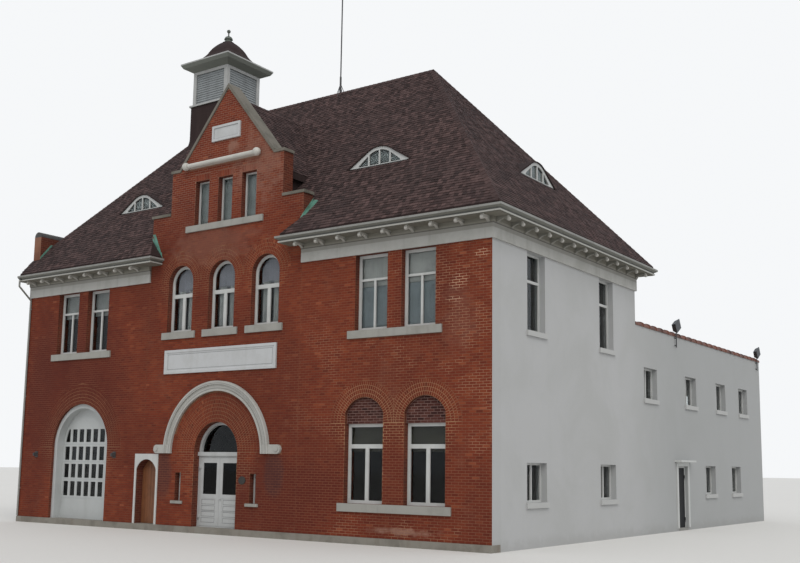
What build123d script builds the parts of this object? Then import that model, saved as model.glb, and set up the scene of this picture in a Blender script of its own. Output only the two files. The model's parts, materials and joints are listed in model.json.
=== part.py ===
"""Town hall with a brick front, a stucco side and rear wing, a hipped roof and a cupola.

Millimetres. X runs along the front, Y goes back from it and Z is up. The origin is on the
ground, under the middle of the main block. Levels are heights above the ground.
"""

import os
from collections import namedtuple
from math import acos, atan2, cos, hypot, sin, sqrt

from build123d import *

os.makedirs("parts", exist_ok=True)

# Plan of the main block and of the rear wing
front_width = 20200
main_depth = 9850
wing_depth = 14650
front_wall_thickness = 450
side_wall_thickness = 400
rear_wall_thickness = 400
wing_wall_thickness = 350

right_x = front_width / 2
left_x = -front_width / 2
front_y = -main_depth / 2
rear_y = main_depth / 2
wing_end_y = rear_y + wing_depth
front_wall_back_y = front_y + front_wall_thickness
right_wall_inner_x = right_x - side_wall_thickness
party_wall_inner_x = left_x + side_wall_thickness
rear_wall_front_y = rear_y - rear_wall_thickness
wing_inner_x = right_x - wing_wall_thickness
wing_inner_end_y = wing_end_y - wing_wall_thickness

# Levels
base_top = 200
upper_floor_top = 5050
soffit_level = 8900
attic_floor_top = 9100
wing_slab_top = 100
wing_upper_floor_top = 3400
wing_roof_top = 6300
wing_parapet_top = 7180
party_parapet_top = 10700
floor_thickness = 250
base_projection = 40

# Roof of the main block
eave_overhang = 500
gutter_width = 120
eave_board_height = 290
roof_slope = 1.225
roof_plate_drop = 210
right_ridge_inset = 5190
left_ridge_inset = 4700
left_eave_overrun = 50
ridge_rise = (main_depth / 2 + eave_overhang) * roof_slope
eave_top = soffit_level + eave_board_height
ridge_level = eave_top + ridge_rise

# Frontispiece, the stepped gable in the middle of the front
frontispiece_half_width = 3400
shoulder_half_width = 2530
gable_half_width = 2130
low_shoulder_level = 10560
high_shoulder_level = 12040
gable_apex_level = 14640
coping_thickness = 90
coping_overhang = 45

# Cross roof behind the gable
cross_ridge_level = 14400
cross_half_width = 2350
cross_plate_drop = 220
cross_eave_overhang = 150
cheek_thickness = 120

# Doors and windows
reveal_depth = 190
frame_depth = 45
frame_stile = 90
glass_thickness = 8
sill_projection = 60

Opening = namedtuple("Opening", "side along sill width height rise")

upper_sill = 6090
upper_width = 1160
upper_head = 8330
upper_spacing = 1650
right_pair_x = 6885
left_pair_x = -6950
arched_sill = 6530
arched_width = 1165
arched_crown = 8780
arched_spacing = 1910
attic_sill = 10080
attic_width = 640
attic_head = 11600
attic_spacing = 1065
lower_sill = 1130
lower_width = 1360
lower_head = 3390
lower_spacing = 2090
lower_arch_rise = 450
lower_arch_crown = 4150
lower_pair_x = 6925
slit_sill = 1000
slit_width = 250
slit_height = 900
slit_offset = 1650

door_width = 1910
door_springing = 2570
entrance_reveal = 240
entrance_frame_depth = 100
transom_bottom = 2410
transom_top = 2570
leaf_thickness = 50
leaf_gap = 6
meeting_gap = 8
threshold_height = 30
hinge_offset = 14
hinge_radius = 8
hinge_inset = 3
hinge_height = 120
hinge_plate_width = 50
knuckle_height = 60
bearing_gap = 0.3

garage_x = -6755
garage_width = 3020
garage_crown = 4250
garage_reveal = 420
garage_liner_width = 150
garage_liner_reveal = 100
garage_door_thickness = 30
garage_columns = 7
garage_bar = 120
garage_stile = 85
garage_row_levels = ((1000, 1510), (1640, 2130), (2270, 2750), (2910, 3370))
section_groove = 12

niche_x = -3170
niche_width = 970
niche_crown = 2320
niche_rise = 340
niche_depth = 300
niche_rim = 80
niche_top = 2500

side_upper_sill = 6050
side_upper_width = 1100
side_lower_sill = 1240
side_lower_width = 1200
side_lower_height = 1100
side_window_ys = (-2400, 2500)
wing_upper_sill = 4650
wing_window_width = 1230
wing_window_height = 1100
wing_upper_ys = (6240, 10350, 13950, 16970)
wing_lower_sill = 1280
wing_lower_ys = (12420, 15725)
back_window_xs = (-7000, -2330, 2330, 7000)

side_door_y = 9235
side_door_width = 1000
side_door_height = 2250


def wall_plane(side, along, level, depth=0):
    """Plane on a wall's outer face, moved inwards by depth, with its own Y pointing up."""
    if side == "front":
        return Plane(origin=(along, front_y + depth, level), x_dir=(1, 0, 0), z_dir=(0, -1, 0))
    if side == "right":
        return Plane(origin=(right_x - depth, along, level), x_dir=(0, 1, 0), z_dir=(1, 0, 0))
    return Plane(origin=(along, wing_end_y - depth, level), x_dir=(-1, 0, 0), z_dir=(0, 1, 0))


def draw_outline(width, height, rise):
    """Outline of an opening standing on its sill, with an arched head where rise is not zero."""
    if rise == 0:
        Rectangle(width, height, align=(Align.CENTER, Align.MIN))
    else:
        springing = height - rise
        with BuildLine() as edge:
            Polyline((-width / 2, springing), (-width / 2, 0), (width / 2, 0), (width / 2, springing))
            ThreePointArc((width / 2, springing), (0, height), (-width / 2, springing))
        make_face(edge.edges())


def outline_face(opening, depth=0, trim=0):
    """Outline of an opening on a plane inside the wall, drawn in by trim at its sides and head."""
    plane = wall_plane(opening.side, opening.along, opening.sill, depth)
    rise = max(opening.rise - trim, 0)
    with BuildSketch(plane) as outline:
        draw_outline(opening.width - 2 * trim, opening.height - trim, rise)
    return outline.sketch


def cut_openings(openings, thickness):
    for opening in openings:
        extrude(outline_face(opening), amount=-thickness, mode=Mode.SUBTRACT)


def frame_face(opening, depth, columns, transom=None, bar=60, stile=frame_stile):
    """Window frame seen from outside: its outline less one light per column, and the top light."""
    plane = wall_plane(opening.side, opening.along, opening.sill, depth)
    top = opening.height - stile if transom is None else transom
    light_width = (opening.width - 2 * stile - (columns - 1) * bar) / columns
    with BuildSketch(plane) as frame:
        draw_outline(opening.width, opening.height, opening.rise)
        with Locations((0, (stile + top) / 2)):
            with GridLocations(light_width + bar, 0, columns, 1):
                Rectangle(light_width, top - stile, mode=Mode.SUBTRACT)
        if transom is not None:
            light_bottom = top + bar
            light_top = opening.height - stile
            with Locations((0, light_bottom)):
                inner_rise = 0 if opening.rise == 0 else light_top - max(
                    light_bottom, opening.height - opening.rise)
                with BuildSketch(mode=Mode.PRIVATE) as light:
                    draw_outline(opening.width - 2 * stile, light_top - light_bottom, inner_rise)
                add(light.sketch, mode=Mode.SUBTRACT)
    return frame.sketch


def box_between(low, high, mode=Mode.ADD):
    """Box from its low corner to its high corner."""
    size = [high[i] - low[i] for i in range(3)]
    with Locations(low):
        Box(*size, align=(Align.MIN, Align.MIN, Align.MIN), mode=mode)


def finish(name, label):
    name.part.label = label
    export_step(name.part, f"parts/{label}.step")


def front_row(center, spacing, count, sill, width, height, rise=0):
    first = center - spacing * (count - 1) / 2
    return [Opening("front", first + i * spacing, sill, width, height, rise) for i in range(count)]


upper_windows = (front_row(left_pair_x, upper_spacing, 2, upper_sill, upper_width, upper_head - upper_sill)
                 + front_row(right_pair_x, upper_spacing, 2, upper_sill, upper_width,
                             upper_head - upper_sill))
arched_windows = front_row(0, arched_spacing, 3, arched_sill, arched_width,
                           arched_crown - arched_sill, arched_width / 2)
attic_windows = front_row(0, attic_spacing, 3, attic_sill, attic_width, attic_head - attic_sill)
lower_windows = front_row(lower_pair_x, lower_spacing, 2, lower_sill, lower_width,
                          lower_arch_crown - lower_sill, lower_arch_rise)
lower_lights = [w._replace(height=lower_head - lower_sill, rise=0) for w in lower_windows]
slit_windows = front_row(0, 2 * slit_offset, 2, slit_sill, slit_width, slit_height)
garage_opening = Opening("front", garage_x, base_top, garage_width, garage_crown - base_top,
                         garage_width / 2)
niche_opening = Opening("front", niche_x, base_top, niche_width, niche_crown - base_top, niche_rise)
door_opening = Opening("front", 0, base_top, door_width,
                       door_springing - base_top + door_width / 2, door_width / 2)
side_upper_windows = [Opening("right", y, side_upper_sill, side_upper_width,
                              upper_head - side_upper_sill, 0) for y in side_window_ys]
side_lower_windows = [Opening("right", y, side_lower_sill, side_lower_width, side_lower_height, 0)
                      for y in side_window_ys]
wing_upper_windows = [Opening("right", y, wing_upper_sill, wing_window_width, wing_window_height, 0)
                      for y in wing_upper_ys]
wing_lower_windows = [Opening("right", y, wing_lower_sill, wing_window_width, wing_window_height, 0)
                      for y in wing_lower_ys]
back_windows = [Opening("back", x, sill, wing_window_width, wing_window_height, 0)
                for sill in (wing_lower_sill, wing_upper_sill) for x in back_window_xs]
side_door_opening = Opening("right", side_door_y, wing_slab_top, side_door_width, side_door_height, 0)

# Stone base under the brick front
with BuildPart() as stone_base:
    box_between((left_x, front_y - base_projection, 0), (right_x, front_wall_back_y, base_top))
finish(stone_base, "stone_base")

# Ground floor slabs of the main block and of the wing
with BuildPart() as ground_floor:
    box_between((party_wall_inner_x, front_wall_back_y, 0), (right_wall_inner_x, rear_wall_front_y, base_top))
    box_between((left_x + wing_wall_thickness, rear_y, 0), (wing_inner_x, wing_inner_end_y, wing_slab_top))
finish(ground_floor, "ground_floor")

# Front wall, split beside and over the entrance
with BuildPart() as front_wall_left:
    box_between((left_x, front_y, base_top), (-door_width / 2, front_wall_back_y, soffit_level))
    cut_openings(upper_windows[:2] + arched_windows[:1] + slit_windows[:1] + [garage_opening],
                 front_wall_thickness)
    cut_openings([niche_opening], niche_depth)
finish(front_wall_left, "front_wall_left")

with BuildPart() as front_wall_right:
    box_between((door_width / 2, front_y, base_top), (right_x, front_wall_back_y, soffit_level))
    cut_openings(upper_windows[2:] + arched_windows[2:] + slit_windows[1:] + lower_windows,
                 front_wall_thickness)
finish(front_wall_right, "front_wall_right")

with BuildPart() as front_wall_over_entrance:
    box_between((-door_width / 2, front_y, door_springing),
                (door_width / 2, front_wall_back_y, soffit_level))
    cut_openings([door_opening] + arched_windows[1:2], front_wall_thickness)
finish(front_wall_over_entrance, "front_wall_over_entrance")

# Stepped gable that stands on the front wall
with BuildPart() as front_gable:
    with BuildSketch(wall_plane("front", 0, 0)):
        with BuildLine():
            Polyline(
                (-frontispiece_half_width, soffit_level), (frontispiece_half_width, soffit_level),
                (frontispiece_half_width, low_shoulder_level), (shoulder_half_width, low_shoulder_level),
                (shoulder_half_width, high_shoulder_level), (gable_half_width, high_shoulder_level),
                (0, gable_apex_level), (-gable_half_width, high_shoulder_level),
                (-shoulder_half_width, high_shoulder_level), (-shoulder_half_width, low_shoulder_level),
                (-frontispiece_half_width, low_shoulder_level), close=True)
        make_face()
    extrude(amount=-front_wall_thickness)
    cut_openings(attic_windows, front_wall_thickness)
finish(front_gable, "front_gable")

# Brick filling of the arched heads over the lower windows
arch_fill_setback = 110
arch_fill_depth = front_wall_thickness - reveal_depth
with BuildPart() as arch_infill:
    for window in lower_windows:
        extrude(outline_face(window, arch_fill_setback), amount=-arch_fill_depth)
        with Locations((window.along, front_y + front_wall_thickness / 2, 0)):
            Box(lower_width * 2, front_wall_thickness * 2, lower_head,
                align=(Align.CENTER, Align.CENTER, Align.MIN), mode=Mode.SUBTRACT)
finish(arch_infill, "arch_infill")

# Right wall of the main block
with BuildPart() as right_wall:
    box_between((right_wall_inner_x, front_wall_back_y, 0), (right_x, rear_y, soffit_level))
    cut_openings(side_upper_windows + side_lower_windows, side_wall_thickness)
finish(right_wall, "right_wall")

# Party wall along the left, lower beside the wing
with BuildPart() as party_wall:
    box_between((left_x, front_wall_back_y, 0), (party_wall_inner_x, rear_y, soffit_level))
    box_between((left_x, rear_y, 0), (left_x + wing_wall_thickness, wing_end_y, wing_parapet_top))
finish(party_wall, "party_wall")

with BuildPart() as party_parapet:
    box_between((left_x, front_y, soffit_level), (party_wall_inner_x, rear_y, party_parapet_top))
finish(party_parapet, "party_parapet")

with BuildPart() as parapet_coping:
    with BuildSketch(Plane(origin=((left_x + party_wall_inner_x) / 2, front_y, party_parapet_top),
                           x_dir=(1, 0, 0), z_dir=(0, -1, 0))):
        Circle(side_wall_thickness / 2)
        with Locations((0, -side_wall_thickness / 2)):
            Rectangle(side_wall_thickness, side_wall_thickness, mode=Mode.SUBTRACT)
    extrude(amount=-main_depth)
finish(parapet_coping, "parapet_coping")

# Rear wall of the main block
with BuildPart() as rear_wall:
    box_between((party_wall_inner_x, rear_wall_front_y, 0), (right_wall_inner_x, rear_y, soffit_level))
finish(rear_wall, "rear_wall")

# Floors of the main block
with BuildPart() as upper_floor:
    box_between((party_wall_inner_x, front_wall_back_y, upper_floor_top - floor_thickness),
                (right_wall_inner_x, rear_wall_front_y, upper_floor_top))
finish(upper_floor, "upper_floor")

with BuildPart() as attic_floor:
    box_between((party_wall_inner_x, front_wall_back_y, attic_floor_top - floor_thickness),
                (right_wall_inner_x, rear_wall_front_y, attic_floor_top))
finish(attic_floor, "attic_floor")


roof_half_depth = main_depth / 2 + eave_overhang
right_ridge_x = right_x - right_ridge_inset
left_ridge_x = left_x + left_ridge_inset
right_eave_x = right_x + eave_overhang
left_eave_x = left_x - eave_overhang
return_x = frontispiece_half_width - eave_overhang


def hipped_solid(drop):
    """Solid from the soffit up to the hipped roof's planes, lowered by drop."""
    with BuildPart() as solid:
        with BuildSketch(Plane.YZ.offset(2 * left_eave_x)):
            with BuildLine():
                Polyline((-roof_half_depth, soffit_level), (roof_half_depth, soffit_level),
                         (roof_half_depth, eave_top - drop), (0, ridge_level - drop),
                         (-roof_half_depth, eave_top - drop), close=True)
            make_face()
        extrude(amount=2 * (right_eave_x - left_eave_x))
        with BuildSketch(Plane.XZ.offset(-roof_half_depth)):
            with BuildLine():
                Polyline((left_eave_x, soffit_level), (right_eave_x, soffit_level),
                         (right_eave_x, eave_top - drop), (right_ridge_x, ridge_level - drop),
                         (left_ridge_x, ridge_level - drop), (left_eave_x, eave_top - drop), close=True)
            make_face()
        extrude(amount=2 * roof_half_depth, mode=Mode.INTERSECT)
    return solid.part


def roof_body(drop):
    """Hipped solid with its gaps: before the gable, where the eave turns in with a small hip on
    each side, through the gable wall, and along the party wall's parapet."""
    with BuildPart() as body:
        add(hipped_solid(drop))
        with BuildSketch(Plane(origin=(0, front_y, 0), x_dir=(1, 0, 0), z_dir=(0, -1, 0))):
            with BuildLine():
                high_x = return_x + 2 * eave_overhang
                high_level = eave_top - drop + 2 * eave_overhang * roof_slope
                Polyline((-return_x, soffit_level), (return_x, soffit_level),
                         (return_x, eave_top - drop), (high_x, high_level),
                         (-high_x, high_level), (-return_x, eave_top - drop), close=True)
            make_face()
        extrude(amount=2 * eave_overhang, mode=Mode.SUBTRACT)
        box_between((-frontispiece_half_width, front_y, soffit_level),
                    (frontispiece_half_width, front_wall_back_y, ridge_level), Mode.SUBTRACT)
        box_between((2 * left_eave_x, front_y, soffit_level),
                    (party_wall_inner_x, rear_y, ridge_level), Mode.SUBTRACT)
        box_between((2 * left_eave_x, -2 * roof_half_depth, soffit_level),
                    (left_x - left_eave_overrun, 2 * roof_half_depth, ridge_level), Mode.SUBTRACT)
    return body.part


def plan_prism(*corners):
    """Upright prism over a plan outline, as high as the roof."""
    with BuildPart() as prism:
        with BuildSketch(Plane.XY.offset(soffit_level)):
            with BuildLine():
                Polyline(*corners, close=True)
            make_face()
        extrude(amount=ridge_level)
    return prism.part


def gabled_prism(half_width, eave_reach, apex, drop, start_y, end_y):
    """Upright prism with a gabled top over the entrance. Its sides are in from the eaves by
    eave_reach, and the overhanging part of the top is as thick as drop."""
    eave_x = half_width + eave_reach
    with BuildPart() as prism:
        with BuildSketch(Plane(origin=(0, start_y, 0), x_dir=(1, 0, 0), z_dir=(0, -1, 0))):
            with BuildLine():
                side = [(half_width, soffit_level), (half_width, apex - drop - half_width * cross_slope),
                        (eave_x, apex - drop - eave_x * cross_slope), (eave_x, apex - eave_x * cross_slope)]
                if eave_reach == 0:
                    side = [side[0], side[3]]
                Polyline(*side, (0, apex), *[(-x, z) for x, z in reversed(side)], close=True)
            make_face()
        extrude(amount=-(end_y - start_y))
    return prism.part


cross_slope = (gable_apex_level - high_shoulder_level) / gable_half_width
cheek_half_width = cross_half_width - cross_eave_overhang
roof_outer = hipped_solid(0)
cross_outer = gabled_prism(cheek_half_width, cross_eave_overhang, cross_ridge_level, cross_plate_drop,
                           front_wall_back_y, 0)
cross_inner = gabled_prism(cheek_half_width - cheek_thickness, 0, cross_ridge_level - cross_plate_drop, 0,
                           front_wall_back_y, 0)

# Eyebrow dormers: centre and front face of each, and which slope it stands on
dormer_half_width = 1340
dormer_rise = 660
dormer_crown_radius = 850
dormer_spread = 3
dormer_shell = 35
dormer_front_distance = 1340
dormer_length = 1500
side_dormer_y = 370
front_dormer_xs = (-5670, 5250)
dormer_base = eave_top + (dormer_front_distance + eave_overhang) * roof_slope
side_slope = ridge_rise / (right_ridge_inset + eave_overhang)
side_dormer_base = eave_top + (dormer_front_distance + eave_overhang) * side_slope
dormer_places = [Plane(origin=(x, front_y + dormer_front_distance, dormer_base),
                       x_dir=(1, 0, 0), z_dir=(0, -1, 0)) for x in front_dormer_xs]
dormer_places.append(Plane(origin=(right_x - dormer_front_distance, side_dormer_y, side_dormer_base),
                           x_dir=(0, 1, 0), z_dir=(1, 0, 0)))


def dormer_face(plane, inset, light_x=0, light_width=0):
    """Eyebrow face of a dormer: straight sides that touch a round crown. An inset takes its own
    depth off the crown and more off the sloping feet. With a light_width it is one light."""
    half = dormer_half_width - dormer_spread * inset
    rise = dormer_rise - inset
    radius = dormer_crown_radius - inset
    depth = radius - rise
    angle = atan2(depth, half) + acos(radius / hypot(half, depth))
    touch_x = radius * cos(angle)
    touch_level = radius * sin(angle) - depth
    with BuildSketch(plane) as face:
        with BuildLine():
            Polyline((-touch_x, touch_level), (-half, 0), (half, 0), (touch_x, touch_level))
            ThreePointArc((touch_x, touch_level), (0, rise), (-touch_x, touch_level))
        make_face()
        if light_width:
            with Locations((light_x, dormer_rail)):
                Rectangle(light_width, dormer_rise, align=(Align.CENTER, Align.MIN), mode=Mode.INTERSECT)
    return face.sketch


roof_outside = roof_body(0)
roof_inside = roof_body(roof_plate_drop)


def roof_slopes(*outlines):
    """Slopes of the roof: a plate of even depth over each plan outline."""
    with BuildPart() as slopes:
        for corners in outlines:
            add(plan_prism(*corners))
        add(roof_outside, mode=Mode.INTERSECT)
        add(roof_inside, mode=Mode.SUBTRACT)
        add(cross_inner, mode=Mode.SUBTRACT)
        for place in dormer_places:
            extrude(dormer_face(place, dormer_shell), amount=-dormer_length, mode=Mode.SUBTRACT)
    return slopes


# The slopes meet in upright planes under the ridge and the hips. On the left the hips end at
# the party wall.
left_hip_share = (party_wall_inner_x - left_eave_x) / (left_ridge_x - left_eave_x)
left_hip_y = roof_half_depth * (1 - left_hip_share)
front_outline = [(left_eave_x, -left_hip_y), (left_eave_x, -roof_half_depth),
                 (right_eave_x, -roof_half_depth), (right_ridge_x, 0), (left_ridge_x, 0),
                 (party_wall_inner_x, -left_hip_y)]
rear_outline = [(x, -y) for x, y in front_outline]
right_outline = [(right_eave_x, -roof_half_depth), (right_eave_x, roof_half_depth), (right_ridge_x, 0)]
left_outline = [(party_wall_inner_x, -left_hip_y), (party_wall_inner_x, left_hip_y), (left_ridge_x, 0)]
finish(roof_slopes(front_outline), "main_roof")
finish(roof_slopes(rear_outline), "main_roof_rear")
finish(roof_slopes(right_outline, left_outline), "main_roof_hips")

# Boxed eave that closes the space between the wall tops, the soffit and the roof
with BuildPart() as eave_box:
    add(roof_inside)
    box_between((party_wall_inner_x, front_wall_back_y, soffit_level),
                (right_wall_inner_x, rear_wall_front_y, ridge_level), Mode.SUBTRACT)
finish(eave_box, "eave_box")

with BuildPart() as gable_roof:
    add(cross_outer)
    add(cross_inner, mode=Mode.SUBTRACT)
    add(roof_outer, mode=Mode.SUBTRACT)
finish(gable_roof, "gable_roof")

with BuildPart() as eyebrow_dormers:
    for place in dormer_places:
        extrude(dormer_face(place, 0), amount=-dormer_length)
        extrude(dormer_face(place, dormer_shell), amount=-dormer_length, mode=Mode.SUBTRACT)
    add(roof_outer, mode=Mode.SUBTRACT)
finish(eyebrow_dormers, "eyebrow_dormers")

# Glazed fronts of the dormers, four lights each, set in from the rim
dormer_rim = 95
dormer_rail = 70
dormer_bar = 45
dormer_light_count = 4
dormer_glass_inset = 40
dormer_light_pitch = 410
with BuildPart() as dormer_frames:
    for place in dormer_places:
        inner_place = place.offset(-dormer_glass_inset)
        extrude(dormer_face(inner_place, dormer_shell), amount=-frame_depth)
        for i in range(dormer_light_count):
            light_x = (i - (dormer_light_count - 1) / 2) * dormer_light_pitch
            light = dormer_face(inner_place, dormer_shell + dormer_rim, light_x,
                                dormer_light_pitch - dormer_bar)
            extrude(light, amount=-frame_depth, mode=Mode.SUBTRACT)
    add(roof_outer, mode=Mode.SUBTRACT)
finish(dormer_frames, "dormer_frames")

with BuildPart() as dormer_glass:
    for place in dormer_places:
        extrude(dormer_face(place.offset(-dormer_glass_inset - frame_depth), dormer_shell),
                amount=-glass_thickness)
    add(roof_outer, mode=Mode.SUBTRACT)


def along_front(points, start_x, end_x):
    """Straight run along the front: points are distance out from the wall and level."""
    with BuildSketch(Plane(origin=(start_x, front_y, 0), x_dir=(0, -1, 0), z_dir=(-1, 0, 0))) as profile:
        with BuildLine():
            Polyline(*points, close=True)
        make_face()
    extrude(profile.sketch, amount=-(end_x - start_x))


def around_block(points):
    """Run along the front from the gable, round the right corner and along the rear."""
    with BuildLine() as path:
        Polyline((frontispiece_half_width, front_y, 0), (right_x, front_y, 0), (right_x, rear_y, 0),
                 (party_wall_inner_x, rear_y, 0))
    start = Plane(origin=(frontispiece_half_width, front_y, 0), x_dir=(0, -1, 0), z_dir=(-1, 0, 0))
    with BuildSketch(start) as profile:
        with BuildLine():
            Polyline(*points, close=True)
        make_face()
    sweep(profile.sketch, path=path.line, transition=Transition.RIGHT)


def with_returns(points):
    """Runs round the block and along the left front that turn in to the wall beside the gable."""
    inside = front_wall_thickness
    right_path = [(frontispiece_half_width, front_y + inside, 0), (frontispiece_half_width, front_y, 0),
                  (right_x, front_y, 0), (right_x, rear_y, 0), (party_wall_inner_x, rear_y, 0)]
    left_path = [(left_x - left_eave_overrun, front_y, 0), (-frontispiece_half_width, front_y, 0),
                 (-frontispiece_half_width, front_y + inside, 0)]
    starts = [Plane(origin=right_path[0], x_dir=(-1, 0, 0), z_dir=(0, 1, 0)),
              Plane(origin=left_path[0], x_dir=(0, -1, 0), z_dir=(-1, 0, 0))]
    for corners, start in zip((right_path, left_path), starts):
        with BuildLine() as path:
            Polyline(*corners)
        with BuildSketch(start) as profile:
            with BuildLine():
                Polyline(*points, close=True)
            make_face()
        sweep(profile.sketch, path=path.line, transition=Transition.RIGHT)
    box_between((-frontispiece_half_width, front_y, frieze_bottom),
                (frontispiece_half_width, front_wall_back_y, eave_top), Mode.SUBTRACT)


# Frieze board with its bed mould
frieze_bottom = upper_head
frieze_projection = 60
bed_mould_bottom = soffit_level - 180
bed_mould_projection = 100
bed_mould_rise = 80
frieze_profile = [(0, frieze_bottom), (frieze_projection, frieze_bottom),
                  (frieze_projection, bed_mould_bottom),
                  (bed_mould_projection, bed_mould_bottom + bed_mould_rise),
                  (bed_mould_projection, soffit_level), (0, soffit_level)]
with BuildPart() as frieze:
    along_front(frieze_profile, left_x, -frontispiece_half_width)
    around_block(frieze_profile)
finish(frieze, "frieze")

# Fascia with its lower fillet, and the moulded gutter over it
fascia_fillet = 40
fascia_face = 20
fillet_bottom = soffit_level + 15
fillet_top = fillet_bottom + 45
gutter_bottom = fillet_top + 45
gutter_bowl = 45
gutter_top = soffit_level + 210
gutter_lip = 60
gutter_profile = [(eave_overhang, fillet_bottom), (eave_overhang + fascia_fillet, fillet_bottom),
                  (eave_overhang + fascia_fillet, fillet_top), (eave_overhang + fascia_face, fillet_top),
                  (eave_overhang + fascia_face, gutter_bottom), (eave_overhang + gutter_bowl, gutter_bottom),
                  (eave_overhang + gutter_width, gutter_top - gutter_lip),
                  (eave_overhang + gutter_width, gutter_top), (eave_overhang, gutter_top)]
# Rainwater pipe down the left corner, bent out under the soffit to the gutter
pipe_radius = 34
pipe_standoff = 10
pipe_inset = 60
pipe_bottom = 220
bend_drop = 80
bend_rise = 470
strap_height = 40
strap_levels = (1200, 4600, 7900)
pipe_x = left_x + pipe_inset
pipe_y = front_y - pipe_standoff - pipe_radius
outlet_y = front_y - eave_overhang - (gutter_bowl + gutter_width) / 2
with BuildPart() as gutter:
    with_returns(gutter_profile)
    with BuildLine() as pipe_path:
        Polyline((pipe_x, pipe_y, pipe_bottom), (pipe_x, pipe_y, frieze_bottom - bend_drop),
                 (pipe_x, outlet_y, frieze_bottom - bend_drop + bend_rise),
                 (pipe_x, outlet_y, gutter_bottom + pipe_radius))
    with BuildSketch(Plane.XY.offset(pipe_bottom)) as pipe_section:
        with Locations((pipe_x, pipe_y)):
            Circle(pipe_radius)
    sweep(pipe_section.sketch, path=pipe_path.line, transition=Transition.ROUND)
    for level in strap_levels:
        box_between((pipe_x - pipe_radius, pipe_y, level), (pipe_x + pipe_radius, front_y, level + strap_height))
finish(gutter, "gutter")

# Scrolled brackets under the soffit
bracket_width = 90
bracket_start = 100
bracket_tip = 460
bracket_root_drop = 150
bracket_tip_drop = 80
scroll_radius = 55
front_bracket_spacing = 820
left_bracket_count = 8
right_bracket_count = 9
side_bracket_count = 13


def bracket_face(plane):
    with BuildSketch(plane) as face:
        with BuildLine():
            Line((bracket_start, soffit_level), (bracket_start, soffit_level - bracket_root_drop))
            ThreePointArc((bracket_start, soffit_level - bracket_root_drop),
                          ((bracket_start + bracket_tip) / 2, soffit_level - bracket_tip_drop * 0.75),
                          (bracket_tip, soffit_level - bracket_tip_drop))
            Line((bracket_tip, soffit_level - bracket_tip_drop), (bracket_tip, soffit_level))
            Line((bracket_tip, soffit_level), (bracket_start, soffit_level))
        make_face()
        with Locations((bracket_tip - 20, soffit_level - bracket_tip_drop)):
            Circle(scroll_radius)
    return face.sketch


with BuildPart() as eave_brackets:
    xs = [left_x + 400 + i * front_bracket_spacing for i in range(left_bracket_count)]
    xs += [right_x - 60 - i * front_bracket_spacing for i in range(right_bracket_count)]
    for x in xs:
        plane = Plane(origin=(x - bracket_width / 2, front_y, 0), x_dir=(0, -1, 0), z_dir=(-1, 0, 0))
        extrude(bracket_face(plane), amount=-bracket_width)
    pitch = (main_depth - 200) / (side_bracket_count - 1)
    for i in range(side_bracket_count):
        y = front_y + 100 + i * pitch
        plane = Plane(origin=(right_x, y - bracket_width / 2, 0), x_dir=(1, 0, 0), z_dir=(0, -1, 0))
        extrude(bracket_face(plane), amount=-bracket_width)
finish(eave_brackets, "eave_brackets")

# Copings of the gable and of its shoulders
coping_run = sqrt(1 + cross_slope ** 2)
with BuildPart() as gable_coping:
    for side in (-1, 1):
        rise = coping_thickness * coping_run
        with BuildSketch(wall_plane("front", 0, 0, -coping_overhang)) as slope_face:
            with BuildLine():
                Polyline((0, gable_apex_level), (side * gable_half_width, high_shoulder_level),
                         (side * gable_half_width, high_shoulder_level + rise),
                         (0, gable_apex_level + rise), close=True)
            make_face()
        extrude(slope_face.sketch, amount=-(front_wall_thickness + 2 * coping_overhang))
finish(gable_coping, "gable_coping")

with BuildPart() as shoulder_copings:
    for side in (-1, 1):
        for inner, outer, level in ((gable_half_width, shoulder_half_width, high_shoulder_level),
                                    (shoulder_half_width, frontispiece_half_width, low_shoulder_level)):
            low_x, high_x = sorted((side * inner, side * (outer + coping_overhang)))
            box_between((low_x, front_y - coping_overhang, level),
                        (high_x, front_wall_back_y, level + coping_thickness))
finish(shoulder_copings, "shoulder_copings")

# Roll moulding with round ends across the foot of the gable
roll_level = 12150
roll_radius = 75
roll_end_radius = 135
roll_left_x = -1760
roll_right_x = 1470
with BuildPart() as roll_moulding:
    with BuildSketch(Plane(origin=(roll_left_x, front_y - roll_end_radius, roll_level),
                           x_dir=(0, 1, 0), z_dir=(1, 0, 0))):
        Circle(roll_radius)
        with Locations((roll_end_radius / 2, 0)):
            Rectangle(roll_end_radius, 2 * roll_radius)
    extrude(amount=roll_right_x - roll_left_x)
    for x in (roll_left_x, roll_right_x):
        with Locations((x, front_y - roll_end_radius, roll_level)):
            Sphere(roll_end_radius)
finish(roll_moulding, "roll_moulding")

# Bare framed panels, a long one under the arched windows and a small one in the gable
panel_thickness = 60
panel_rim = 80
panel_bevel = 25
board_level = 5530
board_width = 4970
board_height = 790
small_panel_x = -25
small_panel_level = 13115
small_panel_width = 1270
small_panel_height = 530


def framed_panel(x, level, width, height):
    """Panel with a raised rim whose inner edge slopes down to the field."""
    with BuildPart() as panel:
        with BuildSketch(wall_plane("front", x, level)):
            Rectangle(width, height)
        extrude(amount=panel_thickness)
        with BuildSketch(wall_plane("front", x, level, -panel_thickness)):
            Rectangle(width - 2 * panel_rim, height - 2 * panel_rim)
        with BuildSketch(wall_plane("front", x, level, panel_bevel - panel_thickness)):
            Rectangle(width - 2 * (panel_rim + panel_bevel), height - 2 * (panel_rim + panel_bevel))
        loft(mode=Mode.SUBTRACT)
    return panel


finish(framed_panel(0, board_level, board_width, board_height), "name_board")
finish(framed_panel(small_panel_x, small_panel_level, small_panel_width, small_panel_height), "date_panel")

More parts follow.
